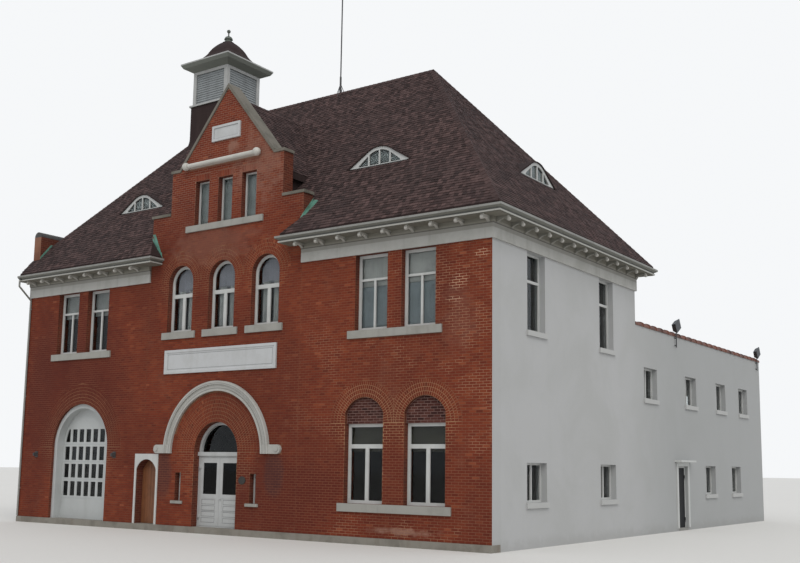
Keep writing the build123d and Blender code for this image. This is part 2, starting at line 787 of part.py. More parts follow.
# Hood mould over the entrance, ending in level feet
hood_inner_radius = 1990
hood_outer_radius = 2310
hood_center_level = 2520
hood_foot_width = 800
hood_foot_height = 280
hood_projection = 60
hood_roll_width = 110
hood_roll_projection = 115
hood_bead_width = 60
hood_bead_projection = 85
with BuildPart() as hood_mould:
    for inner, outer, projection in (
            (hood_inner_radius, hood_outer_radius, hood_projection),
            (hood_outer_radius - hood_roll_width, hood_outer_radius, hood_roll_projection),
            (hood_inner_radius, hood_inner_radius + hood_bead_width, hood_bead_projection)):
        with BuildSketch(wall_plane("front", 0, hood_center_level)) as ring:
            Circle(outer)
            Circle(inner, mode=Mode.SUBTRACT)
            with Locations((0, -outer)):
                Rectangle(3 * outer, 2 * outer, mode=Mode.SUBTRACT)
        extrude(ring.sketch, amount=projection)
    end_radius = hood_foot_height / 2
    for side in (-1, 1):
        foot_end_x = side * (hood_inner_radius + hood_foot_width - end_radius)
        with BuildSketch(wall_plane("front", 0, hood_center_level)) as foot:
            with Locations((side * (hood_inner_radius + (hood_foot_width - end_radius) / 2), end_radius)):
                Rectangle(hood_foot_width - end_radius, hood_foot_height)
            with Locations((foot_end_x, end_radius)):
                Circle(end_radius)
        extrude(foot.sketch, amount=hood_bead_projection)
        with BuildSketch(wall_plane("front", foot_end_x, hood_center_level + end_radius)) as boss:
            Circle(end_radius / 2)
        extrude(boss.sketch, amount=hood_roll_projection)
finish(hood_mould, "hood_mould")

# Entrance frame with its transom and fanlight
transom_nosing = 60
nosing_clearance = 40
fanlight_trim = 20
clear_width = door_width - 2 * frame_stile
leaf_width = (clear_width - 2 * leaf_gap - meeting_gap) / 2
leaf_bottom = base_top + threshold_height + leaf_gap
leaf_top = transom_bottom - leaf_gap
with BuildPart() as entrance_frame:
    with BuildSketch(wall_plane("front", 0, base_top, entrance_reveal)):
        draw_outline(door_width, door_opening.height, door_opening.rise)
        with Locations((0, threshold_height)):
            Rectangle(clear_width, transom_bottom - base_top - threshold_height,
                      align=(Align.CENTER, Align.MIN), mode=Mode.SUBTRACT)
        with Locations((0, transom_top - base_top)):
            with BuildSketch(mode=Mode.PRIVATE) as fan:
                draw_outline(clear_width, clear_width / 2, clear_width / 2 - 1)
            add(fan.sketch, mode=Mode.SUBTRACT)
    extrude(amount=-entrance_frame_depth)
    nosing_y = front_y + entrance_reveal
    box_between((-door_width / 2, nosing_y - transom_nosing, transom_bottom + nosing_clearance),
                (door_width / 2, nosing_y, transom_top))
finish(entrance_frame, "entrance_frame")

with BuildPart() as fanlight_glass:
    with BuildSketch(wall_plane("front", 0, transom_top, entrance_reveal + entrance_frame_depth)):
        pane_width = door_width - 2 * fanlight_trim
        draw_outline(pane_width, pane_width / 2, pane_width / 2 - 1)
    extrude(amount=-glass_thickness)


def entrance_leaf(side):
    """One leaf: side is -1 for the left leaf and 1 for the right one."""
    hinge_x = side * (clear_width / 2 - hinge_inset)
    center_x = side * (clear_width / 2 - leaf_gap - leaf_width / 2)
    height = leaf_top - leaf_bottom
    with BuildPart() as leaf:
        with BuildSketch(wall_plane("front", center_x, leaf_bottom, entrance_reveal)):
            Rectangle(leaf_width, height, align=(Align.CENTER, Align.MIN))
            with Locations((0, glass_low)):
                Rectangle(leaf_width - 2 * leaf_rail, glass_high - glass_low,
                          align=(Align.CENTER, Align.MIN), mode=Mode.SUBTRACT)
        extrude(amount=-leaf_thickness)
        with BuildSketch(wall_plane("front", center_x, leaf_bottom, entrance_reveal)) as fields:
            for low, high in leaf_panels:
                with Locations((0, low)):
                    Rectangle(leaf_width - 2 * leaf_rail, high - low, align=(Align.CENTER, Align.MIN))
        extrude(fields.sketch, amount=-leaf_panel_depth, mode=Mode.SUBTRACT)
        if side == 1:
            handle_x = center_x - leaf_width / 2 + leaf_rail / 2
            with BuildSketch(wall_plane("front", handle_x, handle_level, entrance_reveal)) as rose:
                Circle(handle_rose_radius)
            extrude(rose.sketch, amount=handle_rose_depth)
            with BuildSketch(wall_plane("front", handle_x, handle_level, entrance_reveal)) as knob:
                Circle(handle_radius)
            extrude(knob.sketch, amount=handle_length)
        for level in entrance_hinge_levels:
            with Locations((hinge_x, front_y + entrance_reveal - hinge_offset, level)):
                Cylinder(hinge_radius, hinge_height, align=(Align.CENTER, Align.CENTER, Align.MIN))
            low_x, high_x = sorted((hinge_x, hinge_x - side * hinge_plate_width))
            box_between((low_x, front_y + entrance_reveal - hinge_offset, level),
                        (high_x, front_y + entrance_reveal, level + hinge_height))
    return leaf


entrance_hinge_levels = (leaf_bottom + 250, leaf_top - 350)
leaf_rail = 130
glass_low = 1000
glass_high = 1990
leaf_panels = ((170, 480), (560, 870))
leaf_panel_depth = 10
handle_level = 1090
handle_rose_radius = 38
handle_rose_depth = 8
handle_radius = 22
handle_length = 60
left_leaf = entrance_leaf(-1)
finish(left_leaf, "entrance_left_leaf")
right_leaf = entrance_leaf(1)
finish(right_leaf, "entrance_right_leaf")

with BuildPart() as leaf_glass_left:
    with BuildSketch(wall_plane("front", -(clear_width / 2 - leaf_gap - leaf_width / 2),
                                leaf_bottom + glass_low, entrance_reveal + 20)):
        Rectangle(leaf_width - 2 * leaf_rail, glass_high - glass_low, align=(Align.CENTER, Align.MIN))
    extrude(amount=-glass_thickness)
finish(leaf_glass_left, "entrance_left_glass")

with BuildPart() as leaf_glass_right:
    with BuildSketch(wall_plane("front", clear_width / 2 - leaf_gap - leaf_width / 2,
                                leaf_bottom + glass_low, entrance_reveal + 20)):
        Rectangle(leaf_width - 2 * leaf_rail, glass_high - glass_low, align=(Align.CENTER, Align.MIN))
    extrude(amount=-glass_thickness)
finish(leaf_glass_right, "entrance_right_glass")

# Niche with a pale rim and a boarded back
with BuildPart() as niche:
    with BuildSketch(wall_plane("front", niche_x, base_top)):
        Rectangle(niche_width + 2 * niche_rim, niche_top - base_top, align=(Align.CENTER, Align.MIN))
        with BuildSketch(mode=Mode.PRIVATE) as recess:
            draw_outline(niche_width, niche_crown - base_top, niche_rise)
        add(recess.sketch, mode=Mode.SUBTRACT)
    extrude(amount=30)
finish(niche, "niche_surround")

# Painted lining of the garage arch, and the glazed door behind it
garage_door_depth = garage_reveal - garage_door_thickness
with BuildPart() as garage_liner:
    liner_depth = garage_door_depth - garage_liner_reveal
    extrude(outline_face(garage_opening, garage_liner_reveal), amount=-liner_depth)
    extrude(outline_face(garage_opening, garage_liner_reveal, garage_liner_width), amount=-liner_depth,
            mode=Mode.SUBTRACT)
finish(garage_liner, "garage_liner")

# Lights of the garage door in rows; those of the top row follow the arch
garage_clear_width = garage_width - 2 * garage_liner_width
garage_light_width = (garage_clear_width - 2 * garage_stile
                      - (garage_columns - 1) * garage_bar) / garage_columns
with BuildPart() as garage_lights:
    for low, high in garage_row_levels:
        with BuildSketch(wall_plane("front", garage_x, (low + high) / 2, garage_door_depth)) as row:
            with GridLocations(garage_light_width + garage_bar, 0, garage_columns, 1):
                Rectangle(garage_light_width, high - low)
        extrude(row.sketch, amount=-garage_door_thickness)
    extrude(outline_face(garage_opening, garage_door_depth, garage_liner_width + garage_stile),
            amount=-garage_door_thickness, mode=Mode.INTERSECT)

# Sectional door, with a groove between one row of lights and the next
groove_levels = [garage_row_levels[0][0] - garage_stile]
groove_levels += [(garage_row_levels[i][1] + garage_row_levels[i + 1][0]) / 2
                  for i in range(len(garage_row_levels) - 1)]
with BuildPart() as garage_door:
    extrude(outline_face(garage_opening, garage_door_depth), amount=-garage_door_thickness)
    add(garage_lights.part, mode=Mode.SUBTRACT)
    for level in groove_levels:
        box_between((garage_x - garage_width, front_y + garage_door_depth, level),
                    (garage_x + garage_width, front_y + garage_door_depth + section_groove,
                     level + section_groove), Mode.SUBTRACT)
finish(garage_door, "garage_door")

with BuildPart() as garage_glass:
    pane_bottom = garage_row_levels[0][0] - garage_stile / 2
    box_between((garage_x - garage_width / 2, front_y + garage_reveal, pane_bottom),
                (garage_x + garage_width / 2, front_y + garage_reveal + glass_thickness, garage_crown))
    extrude(outline_face(garage_opening, garage_reveal, garage_stile), amount=-glass_thickness,
            mode=Mode.INTERSECT)

# Window frames and their glass: lights side by side, height of the transom over the sill, bar width
upper_transom = 1470
upper_bar = 70
arched_transom = 1180
arched_bar = 130
lower_transom = 1560
lower_bar = 120
slim_stile = 50
side_upper_transom = 1430
side_bar = 80
side_stile = 60
frame_plans = (
    [(w, 2, upper_transom, upper_bar) for w in upper_windows]
    + [(w, 2, arched_transom, arched_bar) for w in arched_windows]
    + [(w, 1, None, 0) for w in attic_windows] + [(w, 2, lower_transom, lower_bar) for w in lower_lights]
    + [(w, 1, None, 0) for w in slit_windows])
with BuildPart() as front_window_frames:
    for window, columns, transom, bar in frame_plans:
        stile = slim_stile if window in slit_windows + attic_windows else frame_stile
        extrude(frame_face(window, reveal_depth, columns, transom, bar, stile), amount=-frame_depth)
finish(front_window_frames, "front_window_frames")

side_plans = ([(w, 1, side_upper_transom, side_bar) for w in side_upper_windows]
              + [(w, 2, None, side_stile) for w in side_lower_windows + wing_upper_windows
                 + wing_lower_windows + back_windows])
with BuildPart() as side_window_frames:
    for window, columns, transom, bar in side_plans:
        extrude(frame_face(window, reveal_depth, columns, transom, bar, side_stile), amount=-frame_depth)
finish(side_window_frames, "side_window_frames")

with BuildPart() as window_glass:
    for window in [plan[0] for plan in frame_plans + side_plans]:
        extrude(outline_face(window, reveal_depth + frame_depth), amount=-glass_thickness)
    for glazing in (dormer_glass, fanlight_glass, garage_glass):
        add(glazing.part)
finish(window_glass, "window_glass")

# Rear wing
with BuildPart() as wing_side_walls:
    box_between((wing_inner_x, rear_y, 0), (right_x, side_door_y - side_door_width / 2, wing_parapet_top))
    box_between((wing_inner_x, side_door_y + side_door_width / 2, 0), (right_x, wing_end_y, wing_parapet_top))
    cut_openings(wing_upper_windows + wing_lower_windows, wing_wall_thickness)
finish(wing_side_walls, "wing_side_walls")

with BuildPart() as wing_wall_over_door:
    box_between((wing_inner_x, side_door_y - side_door_width / 2, wing_slab_top + side_door_height),
                (right_x, side_door_y + side_door_width / 2, wing_parapet_top))
    cut_openings(wing_upper_windows, wing_wall_thickness)
finish(wing_wall_over_door, "wing_wall_over_door")

with BuildPart() as side_threshold:
    box_between((wing_inner_x, side_door_y - side_door_width / 2, 0),
                (right_x, side_door_y + side_door_width / 2, wing_slab_top))
finish(side_threshold, "side_threshold")

with BuildPart() as wing_rear_wall:
    box_between((left_x + wing_wall_thickness, wing_inner_end_y, 0), (wing_inner_x, wing_end_y, wing_parapet_top))
    cut_openings(back_windows, wing_wall_thickness)
finish(wing_rear_wall, "wing_rear_wall")

with BuildPart() as wing_upper_floor:
    box_between((left_x + wing_wall_thickness, rear_y, wing_upper_floor_top - floor_thickness),
                (wing_inner_x, wing_inner_end_y, wing_upper_floor_top))
finish(wing_upper_floor, "wing_upper_floor")

with BuildPart() as wing_roof:
    box_between((left_x + wing_wall_thickness, rear_y, wing_roof_top - floor_thickness),
                (wing_inner_x, wing_inner_end_y, wing_roof_top))
finish(wing_roof, "wing_roof")

wing_coping_height = 80
wing_coping_overhang = 30
with BuildPart() as wing_coping:
    box_between((left_x, rear_y, wing_parapet_top),
                (right_x + wing_coping_overhang, wing_end_y + wing_coping_overhang,
                 wing_parapet_top + wing_coping_height))
    box_between((left_x + wing_wall_thickness + wing_coping_overhang, rear_y, wing_parapet_top),
                (wing_inner_x - wing_coping_overhang, wing_inner_end_y - wing_coping_overhang,
                 wing_parapet_top + wing_coping_height), Mode.SUBTRACT)
finish(wing_coping, "wing_coping")

# Side door of the wing, with boards round it and a small hood over them
side_door_reveal = 100
side_frame_stile = 60
casing_width = 150
casing_projection = 35
hood_overhang = 300
side_hood_depth = 260
side_hood_thickness = 70
casing_top = wing_slab_top + side_door_height + casing_width
side_leaf_width = side_door_width - 2 * side_frame_stile - 2 * leaf_gap
with BuildPart() as side_door_frame:
    with BuildSketch(wall_plane("right", side_door_y, wing_slab_top, side_door_reveal)):
        Rectangle(side_door_width, side_door_height, align=(Align.CENTER, Align.MIN))
        Rectangle(side_door_width - 2 * side_frame_stile, side_door_height - side_frame_stile,
                  align=(Align.CENTER, Align.MIN), mode=Mode.SUBTRACT)
    extrude(amount=-entrance_frame_depth)
    with BuildSketch(wall_plane("right", side_door_y, wing_slab_top)) as casing:
        Rectangle(side_door_width + 2 * casing_width, side_door_height + casing_width,
                  align=(Align.CENTER, Align.MIN))
        Rectangle(side_door_width, side_door_height, align=(Align.CENTER, Align.MIN), mode=Mode.SUBTRACT)
    extrude(casing.sketch, amount=casing_projection)
    box_between((right_x, side_door_y - side_door_width / 2 - hood_overhang, casing_top),
                (right_x + side_hood_depth, side_door_y + side_door_width / 2 + hood_overhang,
                 casing_top + side_hood_thickness))
finish(side_door_frame, "side_door_frame")

side_hinge_y = side_door_y + side_door_width / 2 - side_frame_stile - hinge_inset
side_hinge_levels = (wing_slab_top + 250, wing_slab_top + side_door_height - 450)
with BuildPart() as side_door_leaf:
    with BuildSketch(wall_plane("right", side_door_y, wing_slab_top + leaf_gap, side_door_reveal)):
        Rectangle(side_leaf_width, side_door_height - side_frame_stile - 2 * leaf_gap,
                  align=(Align.CENTER, Align.MIN))
    extrude(amount=-leaf_thickness)
    for level in side_hinge_levels:
        with Locations((right_x - side_door_reveal + hinge_offset, side_hinge_y, level)):
            Cylinder(hinge_radius, hinge_height, align=(Align.CENTER, Align.CENTER, Align.MIN))
        box_between((right_x - side_door_reveal, side_hinge_y - hinge_plate_width, level),
                    (right_x - side_door_reveal + hinge_offset, side_hinge_y, level + hinge_height))
finish(side_door_leaf, "side_door_leaf")

# Lower knuckles of the hinges, fixed to the frames, on which the leaves bear
with BuildPart() as door_hinges:
    for side in (-1, 1):
        stile_x = side * clear_width / 2
        for level in entrance_hinge_levels:
            top = level - bearing_gap
            outer_y = front_y + entrance_reveal
            with Locations((stile_x - side * hinge_inset, outer_y - hinge_offset, top)):
                Cylinder(hinge_radius, knuckle_height, align=(Align.CENTER, Align.CENTER, Align.MAX))
            low_x, high_x = sorted((stile_x, stile_x + side * hinge_plate_width))
            box_between((low_x, outer_y - hinge_offset, top - knuckle_height), (high_x, outer_y, top))
    for level in side_hinge_levels:
        top = level - bearing_gap
        outer_x = right_x - side_door_reveal
        with Locations((outer_x + hinge_offset, side_hinge_y, top)):
            Cylinder(hinge_radius, knuckle_height, align=(Align.CENTER, Align.CENTER, Align.MAX))
        box_between((outer_x, side_hinge_y + hinge_inset, top - knuckle_height),
                    (outer_x + hinge_offset, side_hinge_y + hinge_inset + hinge_plate_width, top))
finish(door_hinges, "door_hinges")

# Stone sills: each spans its windows, reaches past them and stands out from the wall
stone_sill_height = 230
attic_sill_height = 210
slit_sill_height = 90
side_sill_height = 150
sill_plans = [(upper_windows[:2], 230, stone_sill_height), (upper_windows[2:], 230, stone_sill_height),
              (attic_windows, 350, attic_sill_height), (lower_windows, 200, stone_sill_height)]
sill_plans += [([window], 190, stone_sill_height) for window in arched_windows]
sill_plans += [([window], 130, slit_sill_height) for window in slit_windows]
sill_plans += [([window], 60, side_sill_height) for window in side_upper_windows + side_lower_windows
               + wing_upper_windows + wing_lower_windows + back_windows]
with BuildPart() as stone_sills:
    for group, reach, height in sill_plans:
        start = group[0].along - group[0].width / 2 - reach
        end = group[-1].along + group[-1].width / 2 + reach
        with BuildSketch(wall_plane(group[0].side, (start + end) / 2, group[0].sill)) as front_of_sill:
            Rectangle(end - start, height, align=(Align.CENTER, Align.MAX))
        extrude(front_of_sill.sketch, amount=sill_projection)
finish(stone_sills, "stone_sills")

# Cupola at the left end of the ridge: a shingled curb, a louvred body and an ogee roof
cupola_x = -5090
cupola_base_half = 970
cupola_base_rise = 470
cupola_flare_half = 1150
cupola_flare_height = 380
cupola_strip_half = 1025
cupola_strip_height = 70
cupola_body_half = 895
cupola_body_height = 1380
cupola_corner_width = 130
cupola_corner_half = 930
cupola_head_height = 120
cupola_eave_half = 1310
cupola_lip = 50
cupola_mould = 80
cupola_soffit_rise = 150
cupola_fascia_height = 180
louvre_count = 13
louvre_depth = 30
louvre_foot = 40
ogee_eave_half = 1265
ogee_waist_half = 750
ogee_waist_rise = 310
ogee_turn_half = 560
ogee_turn_rise = 560
ogee_shoulder_half = 440
ogee_shoulder_rise = 790
ogee_crown_half = 200
ogee_crown_rise = 1060

cupola_base_top = ridge_level + cupola_base_rise
cupola_body_bottom = cupola_base_top + cupola_strip_height
cupola_body_top = cupola_body_bottom + cupola_body_height
cupola_fascia_bottom = cupola_body_top + cupola_soffit_rise
cupola_fascia_top = cupola_fascia_bottom + cupola_fascia_height
cupola_crown_level = cupola_fascia_top + ogee_crown_rise


def square_turned(face_of):
    """Solid that shows the same outline from the front and from the side."""
    front = Plane(origin=(cupola_x, -2 * cupola_eave_half, 0), x_dir=(1, 0, 0), z_dir=(0, -1, 0))
    side = Plane(origin=(cupola_x - 2 * cupola_eave_half, 0, 0), x_dir=(0, -1, 0), z_dir=(-1, 0, 0))
    with BuildPart() as solid:
        extrude(face_of(front), amount=-4 * cupola_eave_half)
        extrude(face_of(side), amount=-4 * cupola_eave_half, mode=Mode.INTERSECT)
    return solid.part


def curb_face(plane):
    flare_top = ridge_level - cupola_base_half * roof_slope + cupola_flare_height
    flare_foot = ridge_level - cupola_flare_half * roof_slope
    with BuildSketch(plane) as face:
        with BuildLine():
            Line((cupola_base_half, flare_top), (cupola_base_half, cupola_base_top))
            Line((cupola_base_half, cupola_base_top), (-cupola_base_half, cupola_base_top))
            Line((-cupola_base_half, cupola_base_top), (-cupola_base_half, flare_top))
            TangentArc((-cupola_base_half, flare_top), (-cupola_flare_half, flare_foot), tangent=(0, -1))
            Line((-cupola_flare_half, flare_foot), (cupola_flare_half, flare_foot))
            TangentArc((cupola_base_half, flare_top), (cupola_flare_half, flare_foot), tangent=(0, -1))
        make_face()
    return face.sketch


with BuildPart() as cupola_base:
    add(square_turned(curb_face))
    add(roof_outer, mode=Mode.SUBTRACT)
finish(cupola_base, "cupola_base")

# Body with a saw-toothed louvre panel on each side, let in between its corner posts
louvre_bottom = cupola_body_bottom + louvre_foot
louvre_pitch = (cupola_body_height - cupola_head_height - louvre_foot) / louvre_count
louvre_half_width = cupola_body_half - cupola_corner_width
louvre_back = cupola_body_half - louvre_depth
louvre_edge = 5
with BuildPart() as cupola_body:
    with Locations((cupola_x, 0, cupola_body_bottom)):
        Box(2 * cupola_body_half, 2 * cupola_body_half, cupola_body_height,
            align=(Align.CENTER, Align.CENTER, Align.MIN))
        core_half = cupola_body_half - louvre_depth
        for along, across in ((2 * (cupola_body_half - cupola_corner_width), 3 * cupola_body_half),
                              (3 * cupola_body_half, 2 * (cupola_body_half - cupola_corner_width))):
            with Locations((0, 0, louvre_foot)):
                Box(along, across, cupola_body_height - cupola_head_height - louvre_foot,
                    align=(Align.CENTER, Align.CENTER, Align.MIN), mode=Mode.SUBTRACT)
        Box(2 * core_half, 2 * core_half, cupola_body_height,
            align=(Align.CENTER, Align.CENTER, Align.MIN))
    for i in range(4):
        frame = Plane(origin=(cupola_x, 0, 0)).rotated((0, 0, 90 * i))
        side = Plane(origin=frame.from_local_coords((0, louvre_half_width, 0)),
                     x_dir=frame.x_dir, z_dir=-frame.y_dir)
        with BuildSketch(side) as teeth:
            with BuildLine():
                blades = []
                for k in range(louvre_count):
                    low = louvre_bottom + k * louvre_pitch
                    blades += [(cupola_body_half, low), (cupola_body_half, low + louvre_edge),
                               (louvre_back + louvre_edge, low + louvre_pitch)]
                Polyline((louvre_back, louvre_bottom), *blades,
                         (louvre_back, louvre_bottom + louvre_count * louvre_pitch), close=True)
            make_face()
        extrude(teeth.sketch, amount=2 * louvre_half_width)
finish(cupola_body, "cupola_body")

def cupola_eave_face(plane):
    with BuildSketch(plane) as face:
        with BuildLine():
            for side in (-1, 1):
                Polyline((0, cupola_body_top), (side * cupola_corner_half, cupola_body_top),
                         (side * (cupola_eave_half - cupola_mould), cupola_fascia_bottom),
                         (side * cupola_eave_half, cupola_fascia_top - cupola_lip),
                         (side * cupola_eave_half, cupola_fascia_top), (0, cupola_fascia_top))
        make_face()
    return face.sketch


# Pale trim: strip round the curb's top, boards on the corners and under the soffit, and the eave
with BuildPart() as cupola_trim:
    with Locations((cupola_x, 0, cupola_base_top)):
        Box(2 * cupola_strip_half, 2 * cupola_strip_half, cupola_strip_height,
            align=(Align.CENTER, Align.CENTER, Align.MIN))
    with BuildSketch(Plane.XY.offset(cupola_body_bottom)) as corner_plan:
        with Locations((cupola_x, 0)):
            Rectangle(2 * cupola_corner_half, 2 * cupola_corner_half)
            Rectangle(2 * cupola_body_half, 2 * cupola_body_half, mode=Mode.SUBTRACT)
            Rectangle(2 * louvre_half_width, 3 * cupola_corner_half, mode=Mode.SUBTRACT)
            Rectangle(3 * cupola_corner_half, 2 * louvre_half_width, mode=Mode.SUBTRACT)
    extrude(corner_plan.sketch, amount=cupola_body_height - cupola_head_height)
    with BuildSketch(Plane.XY.offset(cupola_body_top - cupola_head_height)) as head_plan:
        with Locations((cupola_x, 0)):
            Rectangle(2 * cupola_corner_half, 2 * cupola_corner_half)
            Rectangle(2 * cupola_body_half, 2 * cupola_body_half, mode=Mode.SUBTRACT)
    extrude(head_plan.sketch, amount=cupola_head_height)
    add(square_turned(cupola_eave_face))
finish(cupola_trim, "cupola_trim")


def ogee_face(plane):
    """Outline of the cupola's roof: a hollow sweep up from the eave, then a rounded shoulder."""
    level = cupola_fascia_top
    with BuildSketch(plane) as face:
        with BuildLine():
            for side in (-1, 1):
                turn = (side * ogee_turn_half, level + ogee_turn_rise)
                ThreePointArc((side * ogee_eave_half, level), (side * ogee_waist_half, level + ogee_waist_rise),
                              turn)
                ThreePointArc(turn, (side * ogee_shoulder_half, level + ogee_shoulder_rise),
                              (side * ogee_crown_half, level + ogee_crown_rise))
            Line((-ogee_crown_half, level + ogee_crown_rise), (ogee_crown_half, level + ogee_crown_rise))
            Line((-ogee_eave_half, level), (ogee_eave_half, level))
        make_face()
    return face.sketch


with BuildPart() as cupola_roof:
    add(square_turned(ogee_face))
finish(cupola_roof, "cupola_roof")

# Finial: a flared cap, a bulb, a neck and a ball
finial_cap_radius = 240
finial_cap_height = 150
finial_waist_radius = 120
finial_bulb_radius = 175
finial_bulb_height = 150
finial_neck_radius = 28
finial_neck_height = 130
finial_ball_radius = 75
with BuildPart() as finial:
    with BuildSketch(Plane(origin=(cupola_x, 0, cupola_crown_level), x_dir=(1, 0, 0), z_dir=(0, -1, 0))):
        with BuildLine():
            bulb_top = finial_cap_height + finial_bulb_height
            neck_top = bulb_top + finial_neck_height
            ball_center = neck_top + finial_ball_radius
            Line((0, 0), (finial_cap_radius, 0))
            ThreePointArc((finial_cap_radius, 0), (finial_waist_radius * 1.25, finial_cap_height * 0.45),
                          (finial_waist_radius, finial_cap_height))
            Line((finial_waist_radius, finial_cap_height), (finial_bulb_radius, finial_cap_height))
            ThreePointArc((finial_bulb_radius, finial_cap_height),
                          (finial_bulb_radius * 0.75, finial_cap_height + finial_bulb_height * 0.62),
                          (finial_neck_radius, bulb_top))
            Line((finial_neck_radius, bulb_top), (finial_neck_radius, neck_top))
            ball_touch = sqrt(finial_ball_radius ** 2 - finial_neck_radius ** 2)
            ThreePointArc((finial_neck_radius, ball_center - ball_touch), (finial_ball_radius, ball_center),
                          (0, ball_center + finial_ball_radius))
            Line((finial_neck_radius, neck_top), (finial_neck_radius, ball_center - ball_touch))
            Line((0, ball_center + finial_ball_radius), (0, 0))
        make_face()
    revolve(axis=Axis((cupola_x, 0, 0), (0, 0, 1)))
finish(finial, "finial")

# Slender mast on the ridge with four short stays
mast_x = 800
mast_radius = 24
mast_height = 3690
mast_sleeve_radius = 36
mast_sleeve_height = 620
stay_radius = 12
stay_reach = 170
stay_level = 360
with BuildPart() as roof_mast:
    with Locations((mast_x, 0, ridge_level)):
        Cylinder(mast_radius, mast_height, align=(Align.CENTER, Align.CENTER, Align.MIN))
        Cylinder(mast_sleeve_radius, mast_sleeve_height, align=(Align.CENTER, Align.CENTER, Align.MIN))
    head = Vector(mast_x, 0, ridge_level + stay_level)
    for out_x, out_y in ((-stay_reach, 0), (stay_reach, 0), (0, -stay_reach), (0, stay_reach)):
        foot = Vector(mast_x + out_x, out_y, ridge_level - abs(out_y) * roof_slope - stay_radius)
        with BuildSketch(Plane(origin=head, z_dir=foot - head)) as rod:
            Circle(stay_radius)
        extrude(rod.sketch, amount=(foot - head).length + stay_radius)
    add(roof_outer, mode=Mode.SUBTRACT)
finish(roof_mast, "roof_mast")

# Copper flashing where the roof meets the gable and the party wall's parapet
flashing_height = 115
flashing_thickness = 6
wall_line_level = eave_top + eave_overhang * roof_slope
back_line_level = wall_line_level + front_wall_thickness * roof_slope


def flashing_strip(plane, roof_line):
    """Strip of even height that stands on the roof's line along a wall face."""
    with BuildSketch(plane) as strip:
        with BuildLine():
            upper_edge = [(along, level + flashing_height) for along, level in roof_line]
            Polyline(*roof_line, *reversed(upper_edge), close=True)
        make_face()
    extrude(strip.sketch, amount=flashing_thickness)


with BuildPart() as flashing:
    for side in (-1, 1):
        corner_x = side * (frontispiece_half_width + flashing_thickness)
        flashing_strip(wall_plane("front", 0, 0), [
            (side * return_x, eave_top),
            (corner_x, wall_line_level + flashing_thickness * roof_slope)])
        cheek = Plane(origin=(side * frontispiece_half_width, front_y, 0), x_dir=(0, side, 0),
                      z_dir=(side, 0, 0))
        flashing_strip(cheek, [(0, wall_line_level), (side * front_wall_thickness, back_line_level)])
    parapet_face = Plane(origin=(party_wall_inner_x, 0, 0), x_dir=(0, 1, 0), z_dir=(1, 0, 0))
    hip_level = eave_top + (roof_half_depth - left_hip_y) * roof_slope
    flashing_strip(parapet_face, [(front_y, wall_line_level), (-left_hip_y, hip_level),
                                  (left_hip_y, hip_level), (rear_y, wall_line_level)])
    add(roof_outside, mode=Mode.SUBTRACT)
finish(flashing, "flashing")

# Wall lamps beside the garage, and floodlights over the wing's parapet
lamp_left_gap = 885
lamp_right_gap = 415
lamp_level = 2460
lamp_width = 150
lamp_height = 210
lamp_depth = 130
lantern_share = 0.75
lantern_taper = 12
plate_depth = 20
stem_radius = 20
stem_standoff = 45
stem_bottom = 6750
stem_clamp_levels = (6800, 7080)
flood_width = 500
flood_height = 380
flood_depth = 180
flood_back_share = 0.7
flood_tilt = 30
flood_level = 7560
with BuildPart() as wall_lamps:
    for x in (garage_x - garage_width / 2 - lamp_left_gap, garage_x + garage_width / 2 + lamp_right_gap):
        with BuildSketch(wall_plane("front", x, lamp_level)) as plate:
            Rectangle(lamp_width, lamp_height)
        extrude(plate.sketch, amount=plate_depth)
        with BuildSketch(wall_plane("front", x, lamp_level, -plate_depth)) as lantern:
            RectangleRounded(lamp_width * lantern_share, lamp_height * lantern_share, plate_depth)
        extrude(lantern.sketch, amount=lamp_depth, taper=lantern_taper)
    stem_x = right_x + stem_standoff + stem_radius
    for y in (side_door_y - side_door_width / 2, wing_end_y - flood_width):
        with Locations((stem_x, y, stem_bottom)):
            Cylinder(stem_radius, flood_level - stem_bottom,
                     align=(Align.CENTER, Align.CENTER, Align.MIN))
        for level in stem_clamp_levels:
            box_between((right_x, y - stem_radius, level), (stem_x, y + stem_radius, level + 2 * stem_radius))
        head = Plane(origin=(stem_x, y, flood_level), x_dir=(0, 1, 0), z_dir=(1, 0, 0)).rotated(
            (flood_tilt, 0, 0))
        with BuildSketch(head.offset(-flood_depth / 2)) as head_back:
            Rectangle(flood_width * flood_back_share, flood_height * flood_back_share)
        with BuildSketch(head.offset(flood_depth / 2)) as head_face:
            Rectangle(flood_width, flood_height)
        loft([head_back.sketch, head_face.sketch])
finish(wall_lamps, "wall_lamps")
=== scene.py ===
# %% [markdown]
# # A brick town hall with a stucco wing
# The solid model is loaded first and stays as it is: walls, roof planes, windows, doors and the
# cupola are already there, true to scale and in metres. X runs along the front, Y goes back
# from it, Z is up. What follows adds what a modeller lays on top of it: single bricks, shingle
# tabs, coping tiles, boards, blinds and the finishes.

# %% Load the building
import json

import bpy
import numpy as np
from mathutils import Matrix


